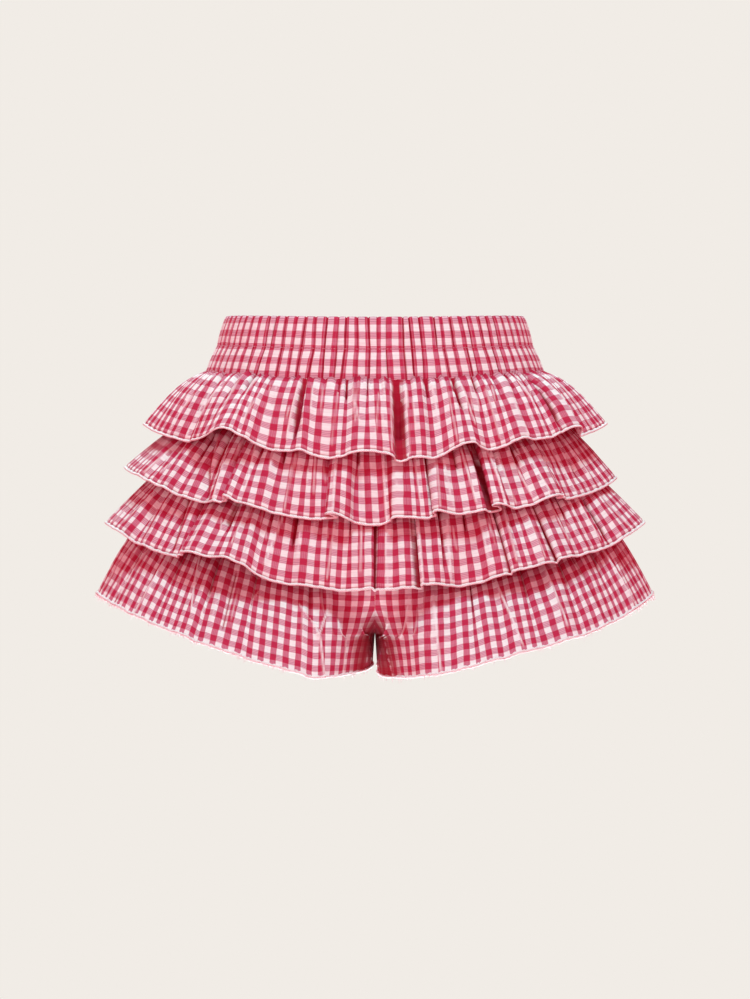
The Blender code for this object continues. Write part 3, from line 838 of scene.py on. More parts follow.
def curve_through(table, place):
    """A curve through a table's rises, without overshoot."""
    x, y = np.array(table, float).T
    slope = np.diff(y) / np.diff(x)
    left, right = slope[:-1], slope[1:]
    level = left * right <= 0
    safe = np.where(level, 1.0, left + right)
    inner = np.where(level, 0.0, 2.0 * left * right / safe)
    bend = np.concatenate([[0.0], inner, [0.0]])
    i = np.clip(np.searchsorted(x, place, side="right") - 1, 0, len(x) - 2)
    wide = x[i + 1] - x[i]
    t = np.clip((place - x[i]) / wide, 0, 1)
    start = (2 * t**3 - 3 * t**2 + 1) * y[i] + (t**3 - 2 * t**2 + t) * wide * bend[i]
    end = (3 * t**2 - 2 * t**3) * y[i + 1] + (t**3 - t**2) * wide * bend[i + 1]
    return start + end


def hem_rise(waves, turn):
    place = np.sin(turn)
    first, last = waves[0].rise, waves[-1].rise
    miss = np.where(place > 0, last - first, first - last)
    back = curve_through(waves, -place) + miss * np.abs(place) ** SIDE_MEET
    return by_half(turn, curve_through(waves, place), back)


WAVES_1 = rows_of(Wave, [
    (-1, 0.5), (-0.968, -2.2), (-0.91, -3.2), (-0.84, -1.2), (-0.795, 1.8), (-0.75, 8), (-0.715, 13),
    (-0.69, 14.4), (-0.66, 12.6), (-0.62, 8.5), (-0.585, 6.2), (-0.54, 2.8), (-0.49, 0.3), (-0.43, 0.4),
    (-0.358, 2), (-0.316, 0.2), (-0.223, -2.8), (-0.172, -1.7), (-0.12, 1.6), (-0.05, 3.7), (-0.01, 3.6),
    (0.073, 0.2), (0.123, -4.5), (0.154, -3.1), (0.182, -1.3), (0.271, -3.2), (0.321, -1.3), (0.397, 4.4),
    (0.46, 6.9), (0.475, 6.6), (0.505, 2.2), (0.55, -0.4), (0.613, 0.8), (0.692, 6.9), (0.747, 3.2),
    (0.795, 1.8), (0.839, 7.4), (0.866, 8.6), (0.9, 5), (0.94, -1), (0.97, -1), (1, 1),
])
WAVES_2 = rows_of(Wave, [
    (-1, 4), (-0.945, 4.4), (-0.885, 2), (-0.827, -1), (-0.77, -1.3), (-0.68, 1), (-0.666, 1.2),
    (-0.648, 8.4), (-0.609, 6), (-0.538, 3), (-0.423, 0), (-0.341, -1), (-0.244, -1.3), (-0.23, 5),
    (-0.175, 3.9), (-0.136, 1.1), (-0.094, -2.1), (-0.04, -3.6), (0.01, -3.8), (0.055, -2), (0.085, 1.7),
    (0.156, 1.7), (0.248, 0), (0.262, 5.1), (0.353, 2.1), (0.442, 1), (0.498, 1.9), (0.513, 6.2),
    (0.573, 2.3), (0.627, -0.7), (0.667, -0.8), (0.733, 1.7), (0.8, 2.3), (0.818, -3.6), (0.88, -5.5),
    (0.95, -6.5), (1, -4),
])
WAVES_3 = rows_of(Wave, [
    (-1, 2), (-0.955, 2), (-0.925, -1.3), (-0.88, -3.7), (-0.846, -3.8), (-0.771, -2.4), (-0.757, -2.2),
    (-0.742, 5.5), (-0.69, 5.7), (-0.64, 6.4), (-0.575, 10.2), (-0.54, 8.8), (-0.482, 3.2), (-0.43, -0.8),
    (-0.344, -1.4), (-0.264, -0.8), (-0.15, -1.7), (-0.08, -1.2), (-0.021, 0.5), (0, 0.7), (0.021, 0.1),
    (0.102, 0), (0.165, 0.6), (0.198, 2.2), (0.239, 1.8), (0.3, -1.2), (0.36, -3.3), (0.428, -3),
    (0.48, -1.2), (0.522, -0.9), (0.538, 1), (0.6, 0.3), (0.692, -0.8), (0.708, 0.8), (0.792, -3.2),
    (0.87, -5.2), (0.923, -4), (0.96, 0), (1, 2),
])
LEVEL = rows_of(Wave, [(-1.0, 0.0), (0.0, 0.0), (1.0, 0.0)])
print("rise of ruffle 1's hem:", min(w.rise for w in WAVES_1), "to", max(w.rise for w in WAVES_1))

# %% [markdown]
# ## The ruffles
#
# A ruffle is one straight strip, gathered by a machine foot and sewn along its top edge. It leaves the
# seam with a small puff and falls in a low bulge. Its cut height is fixed, so where its hem rises the
# cloth has swung further out. This is the same shape as the solid in the frame, with finer detail.
#
# A fold can't go in further than the hip behind it, or the tier below, so the room behind each point
# is measured too.

# %% Ruffle sizes
Ruffle = namedtuple(
    "Ruffle", "seam cut_height side_hem front_hem back_hem bow least_swing side_bulge front_bulge"
)
RUFFLE_1 = Ruffle(SEAM_1, 62.8, -84.0, -110.5, -107.5, 1.2, 28.0, 5.0, 3.0)
RUFFLE_2 = Ruffle(SEAM_2, 65.5, -121.5, -159.5, -156.5, 1.3, 22.0, 2.0, 2.5)
RUFFLE_3 = Ruffle(SEAM_3, 66.8, -163.5, -211.5, -209.0, 1.8, 16.0, 0.8, 2.5)
LEG_AS_RUFFLE = Ruffle(SEAM_4, 84.0, -217.0, -276.0, -276.0, 1.2, 45.0, 2.0, 2.0)
TIER_BELOW = {
    RUFFLE_1: (RUFFLE_2, WAVES_2),
    RUFFLE_2: (RUFFLE_3, WAVES_3),
    RUFFLE_3: (LEG_AS_RUFFLE, LEVEL),
}
SEAM_STAND = 2.3  # from the hip's cloth to the middle of the ruffle's
SEAM_DROP = 0.9
BULGE_HIGH = 0.7
STEP_SHORT = 0.65  # share of a hem's rise that is taken from the strip's height
TIER_CLEAR = 4.5  # mm for the puckers of the tier below
STOP_HIGHER = 2.5  # mm by which that tier is taken to stand higher than it does
STOP_FALLS = (0.0, 0.15, 0.4, 1.0)
LEAST_ROOM = 1.5
LEAST_DROP = 0.1


def hang(ruffle, waves, turn, fall):
    """Points of a ruffle before its folds."""
    out = outward(ruffle.seam, turn)
    seam = on_line(ruffle.seam, turn) + out * SEAM_STAND - UP * SEAM_DROP
    hem_z = sag(turn, ruffle.side_hem, ruffle.front_hem, ruffle.back_hem, ruffle.bow)
    rise = hem_rise(waves, turn)
    drop = seam[..., 2] - hem_z - rise
    ahead = np.abs(np.cos(turn))
    bulge = between(ruffle.side_bulge, ruffle.front_bulge, ahead)
    height = ruffle.cut_height - STEP_SHORT * ahead * np.maximum(rise, 0.0)
    chord = height - (math.pi * bulge) ** 2 / (4 * height)
    swing = np.sqrt(np.maximum(chord**2 - drop**2, ruffle.least_swing**2))
    face = unit(out * drop[..., None] + UP * swing[..., None])
    puff = bulge * np.sin(math.pi * fall**BULGE_HIGH)
    point = seam + (out * swing[..., None] - UP * drop[..., None]) * fall[..., None]
    return point + face * puff[..., None]


def room_behind(ruffle, point, turn):
    """How far in each point can go before it meets the hip or the tier below."""
    out = outward(ruffle.seam, turn)
    seam = on_line(ruffle.seam, turn)
    lower, waves = TIER_BELOW[ruffle]
    stops = [seam, on_line(lower.seam, turn) + UP * STOP_HIGHER]
    clear = out * TIER_CLEAR + UP * STOP_HIGHER
    stops += [hang(lower, waves, turn, np.full_like(turn, f)) + clear for f in STOP_FALLS]
    away = [((stop - seam) * out).sum(axis=-1) for stop in stops]
    behind = away[0].copy()
    for k in range(len(stops) - 1):
        drop = np.minimum(stops[k + 1][..., 2] - stops[k][..., 2], -LEAST_DROP)
        share = np.clip((point[..., 2] - stops[k][..., 2]) / drop, 0, 1)
        behind += (away[k + 1] - away[k]) * share
    return ((point - seam) * out).sum(axis=-1) - behind - LEAST_ROOM


print("ruffle 1 hangs", round(RUFFLE_1.seam.side_z - RUFFLE_1.side_hem, 1), "mm at the side seams")

# %% [markdown]
# To lay the mesh's columns, the strip is first thought of as flat, with its folds in their places.
# The lengths of hem and seam then say how much cloth each fold has to hide, and where each thread lies.

# %% Columns of a gathered strip
TABLE_TURNS = 900
COLUMN_STEP = 1.45
LEAST_TOP = 0.1  # the least share of a fold that is closed at the seam


def lay_columns(base, ends, folds, halves, fold_turns, fall, ease, phase):
    """Turn of each column in each row, and where the folds and columns lie in the flat strip."""
    table = np.linspace(ends[0], ends[1], TABLE_TURNS)
    both_ends = np.array([[0.0], [1.0]])
    along = lengths_along(base(*np.broadcast_arrays(table, both_ends)))
    places = np.stack([np.interp(fold_turns, table, row) for row in along])
    at, total = where_in_cloth(places[1], folds, halves, ease)
    at = move_to_red(at, halves, phase)
    cloth = np.linspace(0.0, total, int(total / COLUMN_STEP) + 1)
    # Between two folds there must be more cloth than body, at the seam too.
    inner = [k for k, share in enumerate(halves) if share == 1.0]
    pins = np.array([0.0, *[at[k] for k in inner], total])
    arcs = np.stack([[0.0, *row[inner], whole[-1]] for row, whole in zip(places, along)])
    starts_in_fold = halves[0] < 1
    hide = [folds[0].hide if starts_in_fold else 0.0, *[folds[k].hide for k in inner]]
    hide = np.array([*hide, folds[-1].hide])
    spare = (np.diff(pins) - np.diff(arcs[0])) / (hide[:-1] + hide[1:]) * 2
    room = np.clip(spare, LEAST_TOP, 1.0)
    tops = np.minimum([*room, room[-1]], [room[0], *room])[0 if starts_in_fold else 1 :]
    folds = [fold._replace(top=float(top)) for fold, top in zip(folds, tops)]
    weight = squeeze(cloth, folds, at, both_ends)
    covered = np.cumsum((weight[:, 1:] + weight[:, :-1]) / 2, axis=1)
    covered = np.concatenate([np.zeros((2, 1)), covered], axis=1)
    rows = []
    for row, whole, arc in zip(covered, along, arcs):
        row = np.interp(row, np.interp(pins, cloth, row), arc)
        rows.append(np.interp(row, whole, table))
    return between(*rows, fall), cloth, at, folds


print("a strip of 600 mm has", int(600 / COLUMN_STEP) + 1, "columns")

# %% [markdown]
# The folds and creases of each ruffle are read from the photograph. A side seam lies in a small fold
# of its own, and ruffle 3 is seamed at the centre as well.

# %% Folds and creases of ruffle 1
SIDE_SEAM = (5.0, 2.0, 0.0, 0.7, 0.2)  # the fold that each side seam lies in
FOLDS_1 = rows_of(Fold, [
    (-1, *SIDE_SEAM), (-0.93, 6, 2, 0.3, 0.5, 0.2), (-0.86, 7, 3.5, 0, 0.2, 0.2),
    (-0.77, 7, 3, 0.3, 0.4, 0.1), (-0.675, 8, 3.5, 0, 0.25, 0.1), (-0.58, 6, 2.5, 0.3, 0.3, 0),
    (-0.5, 6, 3, 0, 0.2, 0), (-0.4, 11, 4, 0.1, 0.7, 0), (-0.29, 5, 2, 0, 0.25, 0), (-0.2, 6, 3, 0, 0.2, 0),
    (-0.158, 6, 3, 0, 0.25, 0), (-0.04, 5, 2, 0, 0.2, 0), (0.12, 11, 7, 0, 1.3, 0.7),
    (0.19, 5, 2, 0, 0.3, 0), (0.285, 8, 3.5, 0, 0.25, 0.1), (0.35, 4, 2, 0, 0.2, 0),
    (0.44, 9, 3.5, -0.1, 0.4, 0), (0.55, 7, 3, 0, 0.2, 0), (0.66, 7, 2.5, -0.3, 0.4, 0.1),
    (0.74, 5, 2, 0.3, 0.4, 0.1), (0.84, 12, 5, 0, 0.8, 0.5), (0.93, 8, 3, 0.3, 0.9, 0.6), (1, *SIDE_SEAM),
])
LINES_1 = rows_of(Crease, [
    (-0.97, 0.05, -0.972, 0.95, 1.1, 2.2), (-0.925, 0.08, -0.94, 0.9, 1.3, 2),
    (-0.9, 0.3, -0.91, 1, -0.9, 2.2), (-0.87, 0.25, -0.885, 0.95, 1.2, 2),
    (-0.82, 0.15, -0.84, 0.7, 1.3, 2), (-0.78, 0.45, -0.8, 1, -0.9, 2.4),
    (-0.735, 0.2, -0.745, 0.9, 1.1, 2.2), (-0.65, 0.04, -0.66, 0.4, 1.3, 2),
    (-0.6, 0.3, -0.63, 0.8, 0.8, 2.4), (-0.42, 0.05, -0.435, 0.85, 1.2, 2.2),
    (-0.2, 0.1, -0.21, 0.85, 0.8, 2.4), (-0.12, 0.1, -0.1, 0.6, 0.9, 2.2), (0.02, 0.2, 0, 0.9, 0.7, 2.4),
    (0.165, 0.1, 0.165, 1, 1.6, 2.6), (0.085, 0.15, 0.08, 0.95, 1, 2.4), (0.31, 0.05, 0.33, 0.6, 1.1, 2.2),
    (0.39, 0.25, 0.4, 0.95, 0.8, 2.4), (0.47, 0.12, 0.5, 0.7, 1.2, 2.2), (0.59, 0.2, 0.6, 0.9, 0.8, 2.2),
    (0.7, 0.35, 0.72, 1, 1.1, 2), (0.77, 0.1, 0.79, 0.7, 1.2, 2), (0.885, 0.1, 0.9, 0.8, 1.3, 2.2),
    (0.96, 0.08, 0.965, 0.95, 1.2, 2), (0.985, 0.2, 0.985, 0.9, -1, 2.4), (-0.855, 0, -0.85, 0.22, -3.5, 2),
    (-0.68, 0, -0.672, 0.24, -3.5, 2), (-0.385, 0, -0.405, 0.86, -3.5, 2),
    (-0.2, 0, -0.198, 0.18, -3.5, 1.9), (-0.16, 0, -0.158, 0.24, -3.5, 1.9),
    (0.285, 0, 0.287, 0.22, -3.5, 2), (0.42, 0.1, 0.455, 0.5, -3.5, 2), (0.55, 0.04, 0.556, 0.2, -3, 1.9),
    (0.85, 0.08, 0.865, 0.5, -3, 3), (0.13, 0.1, 0.128, 1, -3.5, 3),
])
print("ruffle 1:", len(FOLDS_1), "folds,", len(LINES_1), "creases")

# %% Folds and creases of ruffle 2
FOLDS_2 = rows_of(Fold, [
    (-1, *SIDE_SEAM), (-0.93, 7, 2.5, 0.3, 0.6, 0.2), (-0.83, 7, 2.5, -0.3, 0.5, 0.1),
    (-0.75, 8, 4, 0, 0.6, 0.1), (-0.657, 12, 3.5, -0.8, 1.3, 0.8), (-0.57, 7, 2.5, 0.3, 0.4, 0),
    (-0.46, 6, 3, 0, 0.3, 0), (-0.34, 7, 2.5, 0.3, 0.4, 0), (-0.237, 14, 5, 0.25, 1.4, 0.8),
    (-0.09, 6, 3, 0, 0.3, 0), (0.07, 7, 2.5, -0.5, 1.2, 0.5), (0.16, 5, 2, 0, 0.3, 0),
    (0.255, 10, 3, -0.5, 1.3, 0.7), (0.385, 6, 2.5, 0.2, 0.4, 0), (0.505, 15, 8, 0.15, 1.4, 0.75),
    (0.585, 7, 2.5, -0.3, 0.8, 0.2), (0.68, 8, 2.5, 0.3, 0.5, 0.1), (0.809, 10, 3, -0.7, 1.3, 0.8),
    (0.91, 8, 2.5, 0.3, 0.7, 0.2), (1, *SIDE_SEAM),
])
LINES_2 = rows_of(Crease, [
    (-0.97, 0.1, -0.975, 0.9, 1.2, 2), (-0.935, 0.15, -0.945, 0.95, 1.3, 2),
    (-0.89, 0.2, -0.91, 0.85, 1.2, 2), (-0.86, 0.4, -0.87, 1, -0.9, 2.4),
    (-0.81, 0.15, -0.74, 0.95, -3.5, 7), (-0.72, 0.3, -0.69, 1, 1.3, 2.2), (-0.6, 0.15, -0.58, 0.8, 1, 2.2),
    (-0.51, 0.1, -0.5, 0.5, 1.5, 2), (-0.4, 0.2, -0.41, 0.95, 0.8, 2.4), (-0.3, 0.15, -0.29, 0.7, 0.9, 2.2),
    (-0.195, 0.08, -0.19, 1, 1.6, 2), (-0.05, 0.2, -0.04, 0.9, -1.2, 3), (0.04, 0.1, 0.055, 1, 1.6, 2),
    (0.2, 0.2, 0.21, 0.8, 0.8, 2.2), (0.3, 0.15, 0.285, 1, 1.7, 2.2), (0.335, 0.25, 0.355, 0.9, 1.3, 1.9),
    (0.43, 0.1, 0.455, 0.9, 1.3, 2.4), (0.555, 0.15, 0.57, 1, 1.5, 2), (0.6, 0.3, 0.625, 0.95, 1, 2),
    (0.66, 0.15, 0.69, 0.9, 1.1, 1.9), (0.725, 0.2, 0.75, 1, 1.5, 2), (0.78, 0.1, 0.79, 0.8, 1.1, 1.9),
    (0.86, 0.15, 0.88, 0.95, 1.2, 1.9), (0.93, 0.1, 0.945, 0.85, 1.2, 1.9),
    (0.97, 0.2, 0.975, 0.95, 1.1, 2), (-0.235, 0, -0.23, 1, -3.5, 2.6), (0.47, 0, 0.515, 1, -4, 4.5),
    (-0.66, 0.3, -0.655, 1, -3, 2.2), (0.395, 0, 0.4, 0.4, -3, 2), (-0.45, 0, -0.455, 0.35, -3, 2),
    (0.69, 0, 0.7, 0.45, -2.5, 2), (-0.08, 0, -0.08, 0.3, -2.5, 2),
])
print("ruffle 2:", len(FOLDS_2), "folds,", len(LINES_2), "creases")

# %% Folds and creases of ruffle 3
FOLDS_3 = rows_of(Fold, [
    (-1, *SIDE_SEAM), (-0.91, 7, 2.5, 0.3, 0.6, 0.2), (-0.82, 4, 2, 0, 0.3, 0),
    (-0.749, 12, 3.5, -0.8, 1.3, 0.8), (-0.61, 8, 2.5, 0.4, 0.6, 0.1), (-0.46, 7, 2.5, 0.4, 0.5, 0),
    (-0.355, 8, 3.5, 0, 0.5, 0), (-0.24, 6, 2.5, 0, 0.4, 0), (-0.11, 5, 2, 0, 0.4, 0),
    (0, 8, 3.5, 0, 1.3, 0.9), (0.09, 4, 2, 0, 0.3, 0), (0.172, 8, 3, 0.6, 1.3, 0.6),
    (0.295, 8, 2.5, -0.5, 0.8, 0.2), (0.4, 5, 2.5, 0, 0.4, 0), (0.53, 8, 3, -0.5, 1.3, 0.6),
    (0.62, 4, 2, 0, 0.3, 0), (0.7, 8, 3, -0.5, 1.3, 0.6), (0.8, 7, 2.5, 0.3, 0.5, 0.1),
    (0.905, 10, 3.5, 0.3, 0.9, 0.5), (1, *SIDE_SEAM),
])
LINES_3 = rows_of(Crease, [
    (-0.97, 0.15, -0.975, 0.95, 1.2, 2), (-0.935, 0.2, -0.95, 0.9, 1.2, 2), (-0.88, 0.3, -0.89, 1, 1, 2.2),
    (-0.83, 0.2, -0.79, 0.95, -3, 6), (-0.7, 0.3, -0.71, 0.95, 1.1, 2.2), (-0.56, 0.15, -0.57, 0.8, 1, 2.2),
    (-0.5, 0.3, -0.52, 0.9, -1, 2.6), (-0.41, 0.2, -0.45, 0.85, 1.3, 2), (-0.32, 0.1, -0.33, 0.7, 1, 2.2),
    (-0.28, 0.35, -0.29, 1, -0.9, 2.4), (-0.18, 0.2, -0.2, 0.9, 0.9, 2.4),
    (-0.06, 0.1, -0.06, 0.8, 1.1, 2.2), (0.045, 0.1, 0.05, 1, 1, 2.4), (0.19, 0.12, 0.195, 1, 1.7, 2),
    (0.32, 0.1, 0.31, 0.95, 1.5, 2.2), (0.245, 0.3, 0.24, 0.9, -1, 2.6), (0.46, 0.2, 0.47, 0.85, 0.9, 2.2),
    (0.565, 0.15, 0.56, 0.9, 1.6, 2), (0.65, 0.2, 0.66, 0.95, 0.9, 2.2), (0.76, 0.2, 0.77, 0.8, 1.5, 2),
    (0.84, 0.3, 0.85, 0.95, 1, 2.2), (0.87, 0.2, 0.885, 0.9, 1.2, 2), (0.95, 0.3, 0.96, 0.97, 1.2, 2),
    (-0.345, 0.15, -0.357, 0.6, -3, 2), (-0.755, 0.2, -0.75, 1, -3, 2.2), (0.16, 0.1, 0.165, 1, -2.5, 2),
    (0.53, 0.1, 0.53, 1, -2.5, 2), (-0.62, 0, -0.62, 0.5, -2.5, 2), (0.4, 0, 0.4, 0.35, -2.5, 2),
    (0.7, 0.1, 0.7, 1, -2.5, 2),
])
print("ruffle 3:", len(FOLDS_3), "folds,", len(LINES_3), "creases")

# %% Sewing a ruffle
TIERS = {
    1: (RUFFLE_1, WAVES_1, FOLDS_1, LINES_1),
    2: (RUFFLE_2, WAVES_2, FOLDS_2, LINES_2),
    3: (RUFFLE_3, WAVES_3, FOLDS_3, LINES_3),
}
EASE = 1.09  # cloth in the ripples between folds
ROW_STEP = 1.7
HEM_ROWS = (3.6, 2.7, 1.9, 1.2, 0.0)  # mm above the hem, for the groove over the rolled edge
HEM_PHASE = -2.0  # where the hem cuts the row of checks
RED_SHIFT = 3.7  # mm by which the stripes move from one piece to the next
GROOVE_AT = 1.9
GROOVE_DEEP = 0.7
GROOVE_HALF = 0.9
# painted shade in the groove over the rolled edge
GROOVE_PAINTED_SHADE = 0.6
# painted shade along the seam at the top, and the mm over which it fades
SEAM_PAINTED_SHADE = 0.55
SEAM_SHADE_HIGH = 1.8
FINE_STEP = 11.0  # mm of cloth to each fine crease
SIDE_QUIET = 0.08  # share of the half width near a side seam where the gathers are low
SIDE_PUCKER = 0.25  # and their share of the full height there
SIDE_FLAT = 0.02  # and where no crease runs
LEAST_LEAN = 0.4
HIP_FLARE = 0.5  # a fold that goes in also goes down, where the hip is wider
SCALLOP = 0.45  # how far the gathers lift the seam line
TUCK_NEAR = 0.65
TUCK_SHARE = 0.3
TUCK_UP = 0.4


def tuck_top(top, ruffle, turn):
    """Turn the raw edge in under the line above, so no gap shows from over it."""
    out = outward(ruffle.seam, turn)
    stand = ((top - on_line(ruffle.seam, turn)) * out).sum(axis=-1)
    tucked = TUCK_NEAR + TUCK_SHARE * (stand - LEAST_ROOM)
    return top + out * (tucked - stand)[:, None] + UP * TUCK_UP


def gather_ruffle(node, number, half, seed, span=(-1.0, 1.0)):
    """Sew the piece of a ruffle between two places, and its rolled edge."""
    ruffle, waves, folds, lines = TIERS[number]
    middle_turn = 0.0 if half == "front" else math.pi
    used = [fold for fold in folds if span[0] <= fold.place <= span[1]]
    fold_turns = np.array([middle_turn + math.asin(fold.place) for fold in used])
    gap = HALF_GAP / ruffle.seam.front
    fold_turns[[0, -1]] += [gap, -gap]
    halves = [0.5] + [1.0] * (len(used) - 2) + [0.5]
    rows = int(ruffle.cut_height / ROW_STEP) + 1
    upper = np.linspace(0.0, 1.0 - HEM_ROWS[0] / ruffle.cut_height, rows)[:-1]
    fall = np.concatenate([upper, 1.0 - np.array(HEM_ROWS) / ruffle.cut_height])[:, None]

    def base(turn, share):
        return hang(ruffle, waves, turn, share)

    phase = seed * RED_SHIFT
    ends = fold_turns[[0, -1]]
    laid = lay_columns(base, ends, used, halves, fold_turns, fall, EASE, phase)
    turns, cloth, at, used = laid
    middle = base(turns, np.broadcast_to(fall, turns.shape))
    face = facing(middle)
    deep, aside, dark = slots(cloth, used, at, fall)
    sideways = np.abs(np.sin(turns[-1]))
    quiet = SIDE_PUCKER + (1.0 - SIDE_PUCKER) * smooth((1.0 - sideways) / SIDE_QUIET)
    small = puckers(cloth, fall, seed, sideways) + ripples(cloth, fall, seed)
    out = small * quiet - deep - puffs(cloth, used, at, fall)
    fine = fine_creases(seed, int(cloth[-1] / FINE_STEP), *span)
    bent = [
        line._replace(place_top=math.asin(line.place_top), place_low=math.asin(line.place_low))
        for line in [*lines, *fine]
    ]
    ridges, crest = creases(bent, turns - middle_turn, fall, spread_of(middle, turns))
    out += ridges * smooth((1.0 - sideways) / SIDE_FLAT)
    from_hem = (1.0 - fall) * ruffle.cut_height
    groove = fade(np.abs(from_hem - GROOVE_AT) / GROOVE_HALF)
    out -= GROOVE_DEEP * groove
    # Painted shade in the folds, in the groove over the rolled edge and along the seam at the top.
    seam_shade = SEAM_PAINTED_SHADE * np.exp(-((fall * ruffle.cut_height / SEAM_SHADE_HIGH) ** 2))
    crest = crest - dark - GROOVE_PAINTED_SHADE * groove - seam_shade
    lean = np.maximum((face * outward(ruffle.seam, turns)).sum(axis=-1), LEAST_LEAN)
    lean += HIP_FLARE * np.maximum(face[..., 2], 0.0)
    out = np.maximum(out, -np.maximum(room_behind(ruffle, middle, turns), 0.0) / lean)
    middle = middle + face * out[..., None] + sideways_round(turns) * aside[..., None]
    middle[0] += UP * (SCALLOP * puckers(cloth, fall[:1], seed, sideways)[0][:, None])
    middle[0] = tuck_top(middle[0], ruffle, turns[0])
    grain = join(cloth + phase, from_hem + HEM_PHASE)
    piece = sew_cloth(node, middle, grain, crest)
    edge = roll_edge(f"edge_{node}_cloth", middle, RUFFLE_CORD)
    print(piece.name, "strip of", round(cloth[-1]), "by", ruffle.cut_height, "mm")


for number in (1, 2):
    for seed, half in enumerate(("front", "back"), start=10 * number + 1):
        gather_ruffle(f"ruffle_{number}_{half}", number, half, seed)
for seed, half in ((31, "front"), (33, "back")):
    # The back is seen from behind, so its places run from the wearer's left to the right.
    spans = [(-1.0, 0.0), (0.0, 1.0)] if half == "front" else [(0.0, 1.0), (-1.0, 0.0)]
    gather_ruffle(f"ruffle_3_{half}_right", 3, half, seed, spans[0])
    gather_ruffle(f"ruffle_3_{half}_left", 3, half, seed + 1, spans[1])

# %% [markdown]
# ## The hip panels
#
# Four plain panels carry the ruffles. Only their inside shows, through the waist and the legs. They
# are smooth, close-fitting cloth, so their shells follow the seam lines with no folds of their own.

# %% Hip panels
HIP_COLUMNS = 60
HIP_ROWS = 17  # from one seam line to the next


def sew_hip(half, side):
    start = {"front": 0.0, "back": QUARTER}[half]
    gap = HALF_GAP / SEAM_1.front
    turn = np.linspace(start + gap, start + QUARTER - gap, HIP_COLUMNS)
    if side == "right":
        turn = -turn[::-1]
    rows = []
    lines = [SEAM_1, SEAM_2, SEAM_3, SEAM_4]
    for upper, lower in zip(lines, lines[1:]):
        shares = np.linspace(0.0, 1.0, HIP_ROWS)[: None if lower == SEAM_4 else -1]
        top, low = on_line(upper, turn), on_line(lower, turn)
        rows += [between(top, low, share) for share in shares]
    middle = np.stack(rows)
    middle[0] -= UP * 2 * HALF_GAP
    middle[-1] += UP * 2 * HALF_GAP
    along = lengths_along(middle).max(axis=0)
    down = np.linalg.norm(np.diff(middle, axis=0), axis=2).mean(axis=1)
    height = np.concatenate([[0.0], np.cumsum(down)])
    grain = join(along, -height[:, None])
    piece = sew_cloth(f"hip_{half}_{side}", middle, grain)


for half in ("front", "back"):
    for side in ("left", "right"):
        sew_hip(half, side)

# %% [markdown]
# ## The leg tier
#
# The lowest tier is the legs themselves. Each quarter is gathered into the hip's lower edge. Seen from
# above, its cloth runs level round the hip at the top, and lower down it turns in towards the crotch,
# so that the two legs part. The inner side of a leg turns away from the camera and falls into shade,
# and painted shade on its colour makes it darker still.

# %% Leg sizes
LEG_TURN = 0.40  # share of a quarter, from the centre seam, that turns in towards the crotch
LEG_TURN_X = 45.0
LEG_HEM_DEPTH = {"front": 175.0, "back": 181.0}
LEG_HEM_LOW = -276.4
LEG_HEM_SIDE = 219.5
LEG_HEM_SIDE_Z = -217.5
LEG_HEM_STEEPER = 0.2
CROTCH_Z = -248.0
INSEAM_HEM_Z = -275.0
INSEAM_HALF_GAP = 2.0
CENTRE_FRONT_Z = SEAM_4.front_z
CROTCH_FALL = (CENTRE_FRONT_Z - CROTCH_Z) / (CENTRE_FRONT_Z - INSEAM_HEM_Z)
CROTCH_ROUND = 2.3
ARC_LIMIT = 0.99


def centre_seam(half, fall):
    """The centre seam down to the crotch, and the inseam from there to the hem."""
    depth = SEAM_4.front if half == "front" else SEAM_4.back
    part = np.clip(fall / CROTCH_FALL, 0, 1)
    y = np.maximum(depth * (1.0 - part**CROTCH_ROUND) ** (1.0 / CROTCH_ROUND), HALF_GAP)
    below = np.clip((fall - CROTCH_FALL) / (1.0 - CROTCH_FALL), 0, 1)
    return join(HALF_GAP + INSEAM_HALF_GAP * below, y, between(CENTRE_FRONT_Z, INSEAM_HEM_Z, fall))


def leg_top(half, turn):
    """The seam at the top of a leg, with Y as the depth towards the half's own end."""
    top = on_line(SEAM_4, turn if half == "front" else 2 * QUARTER - turn)
    top[..., 1] = np.abs(top[..., 1])
    return top


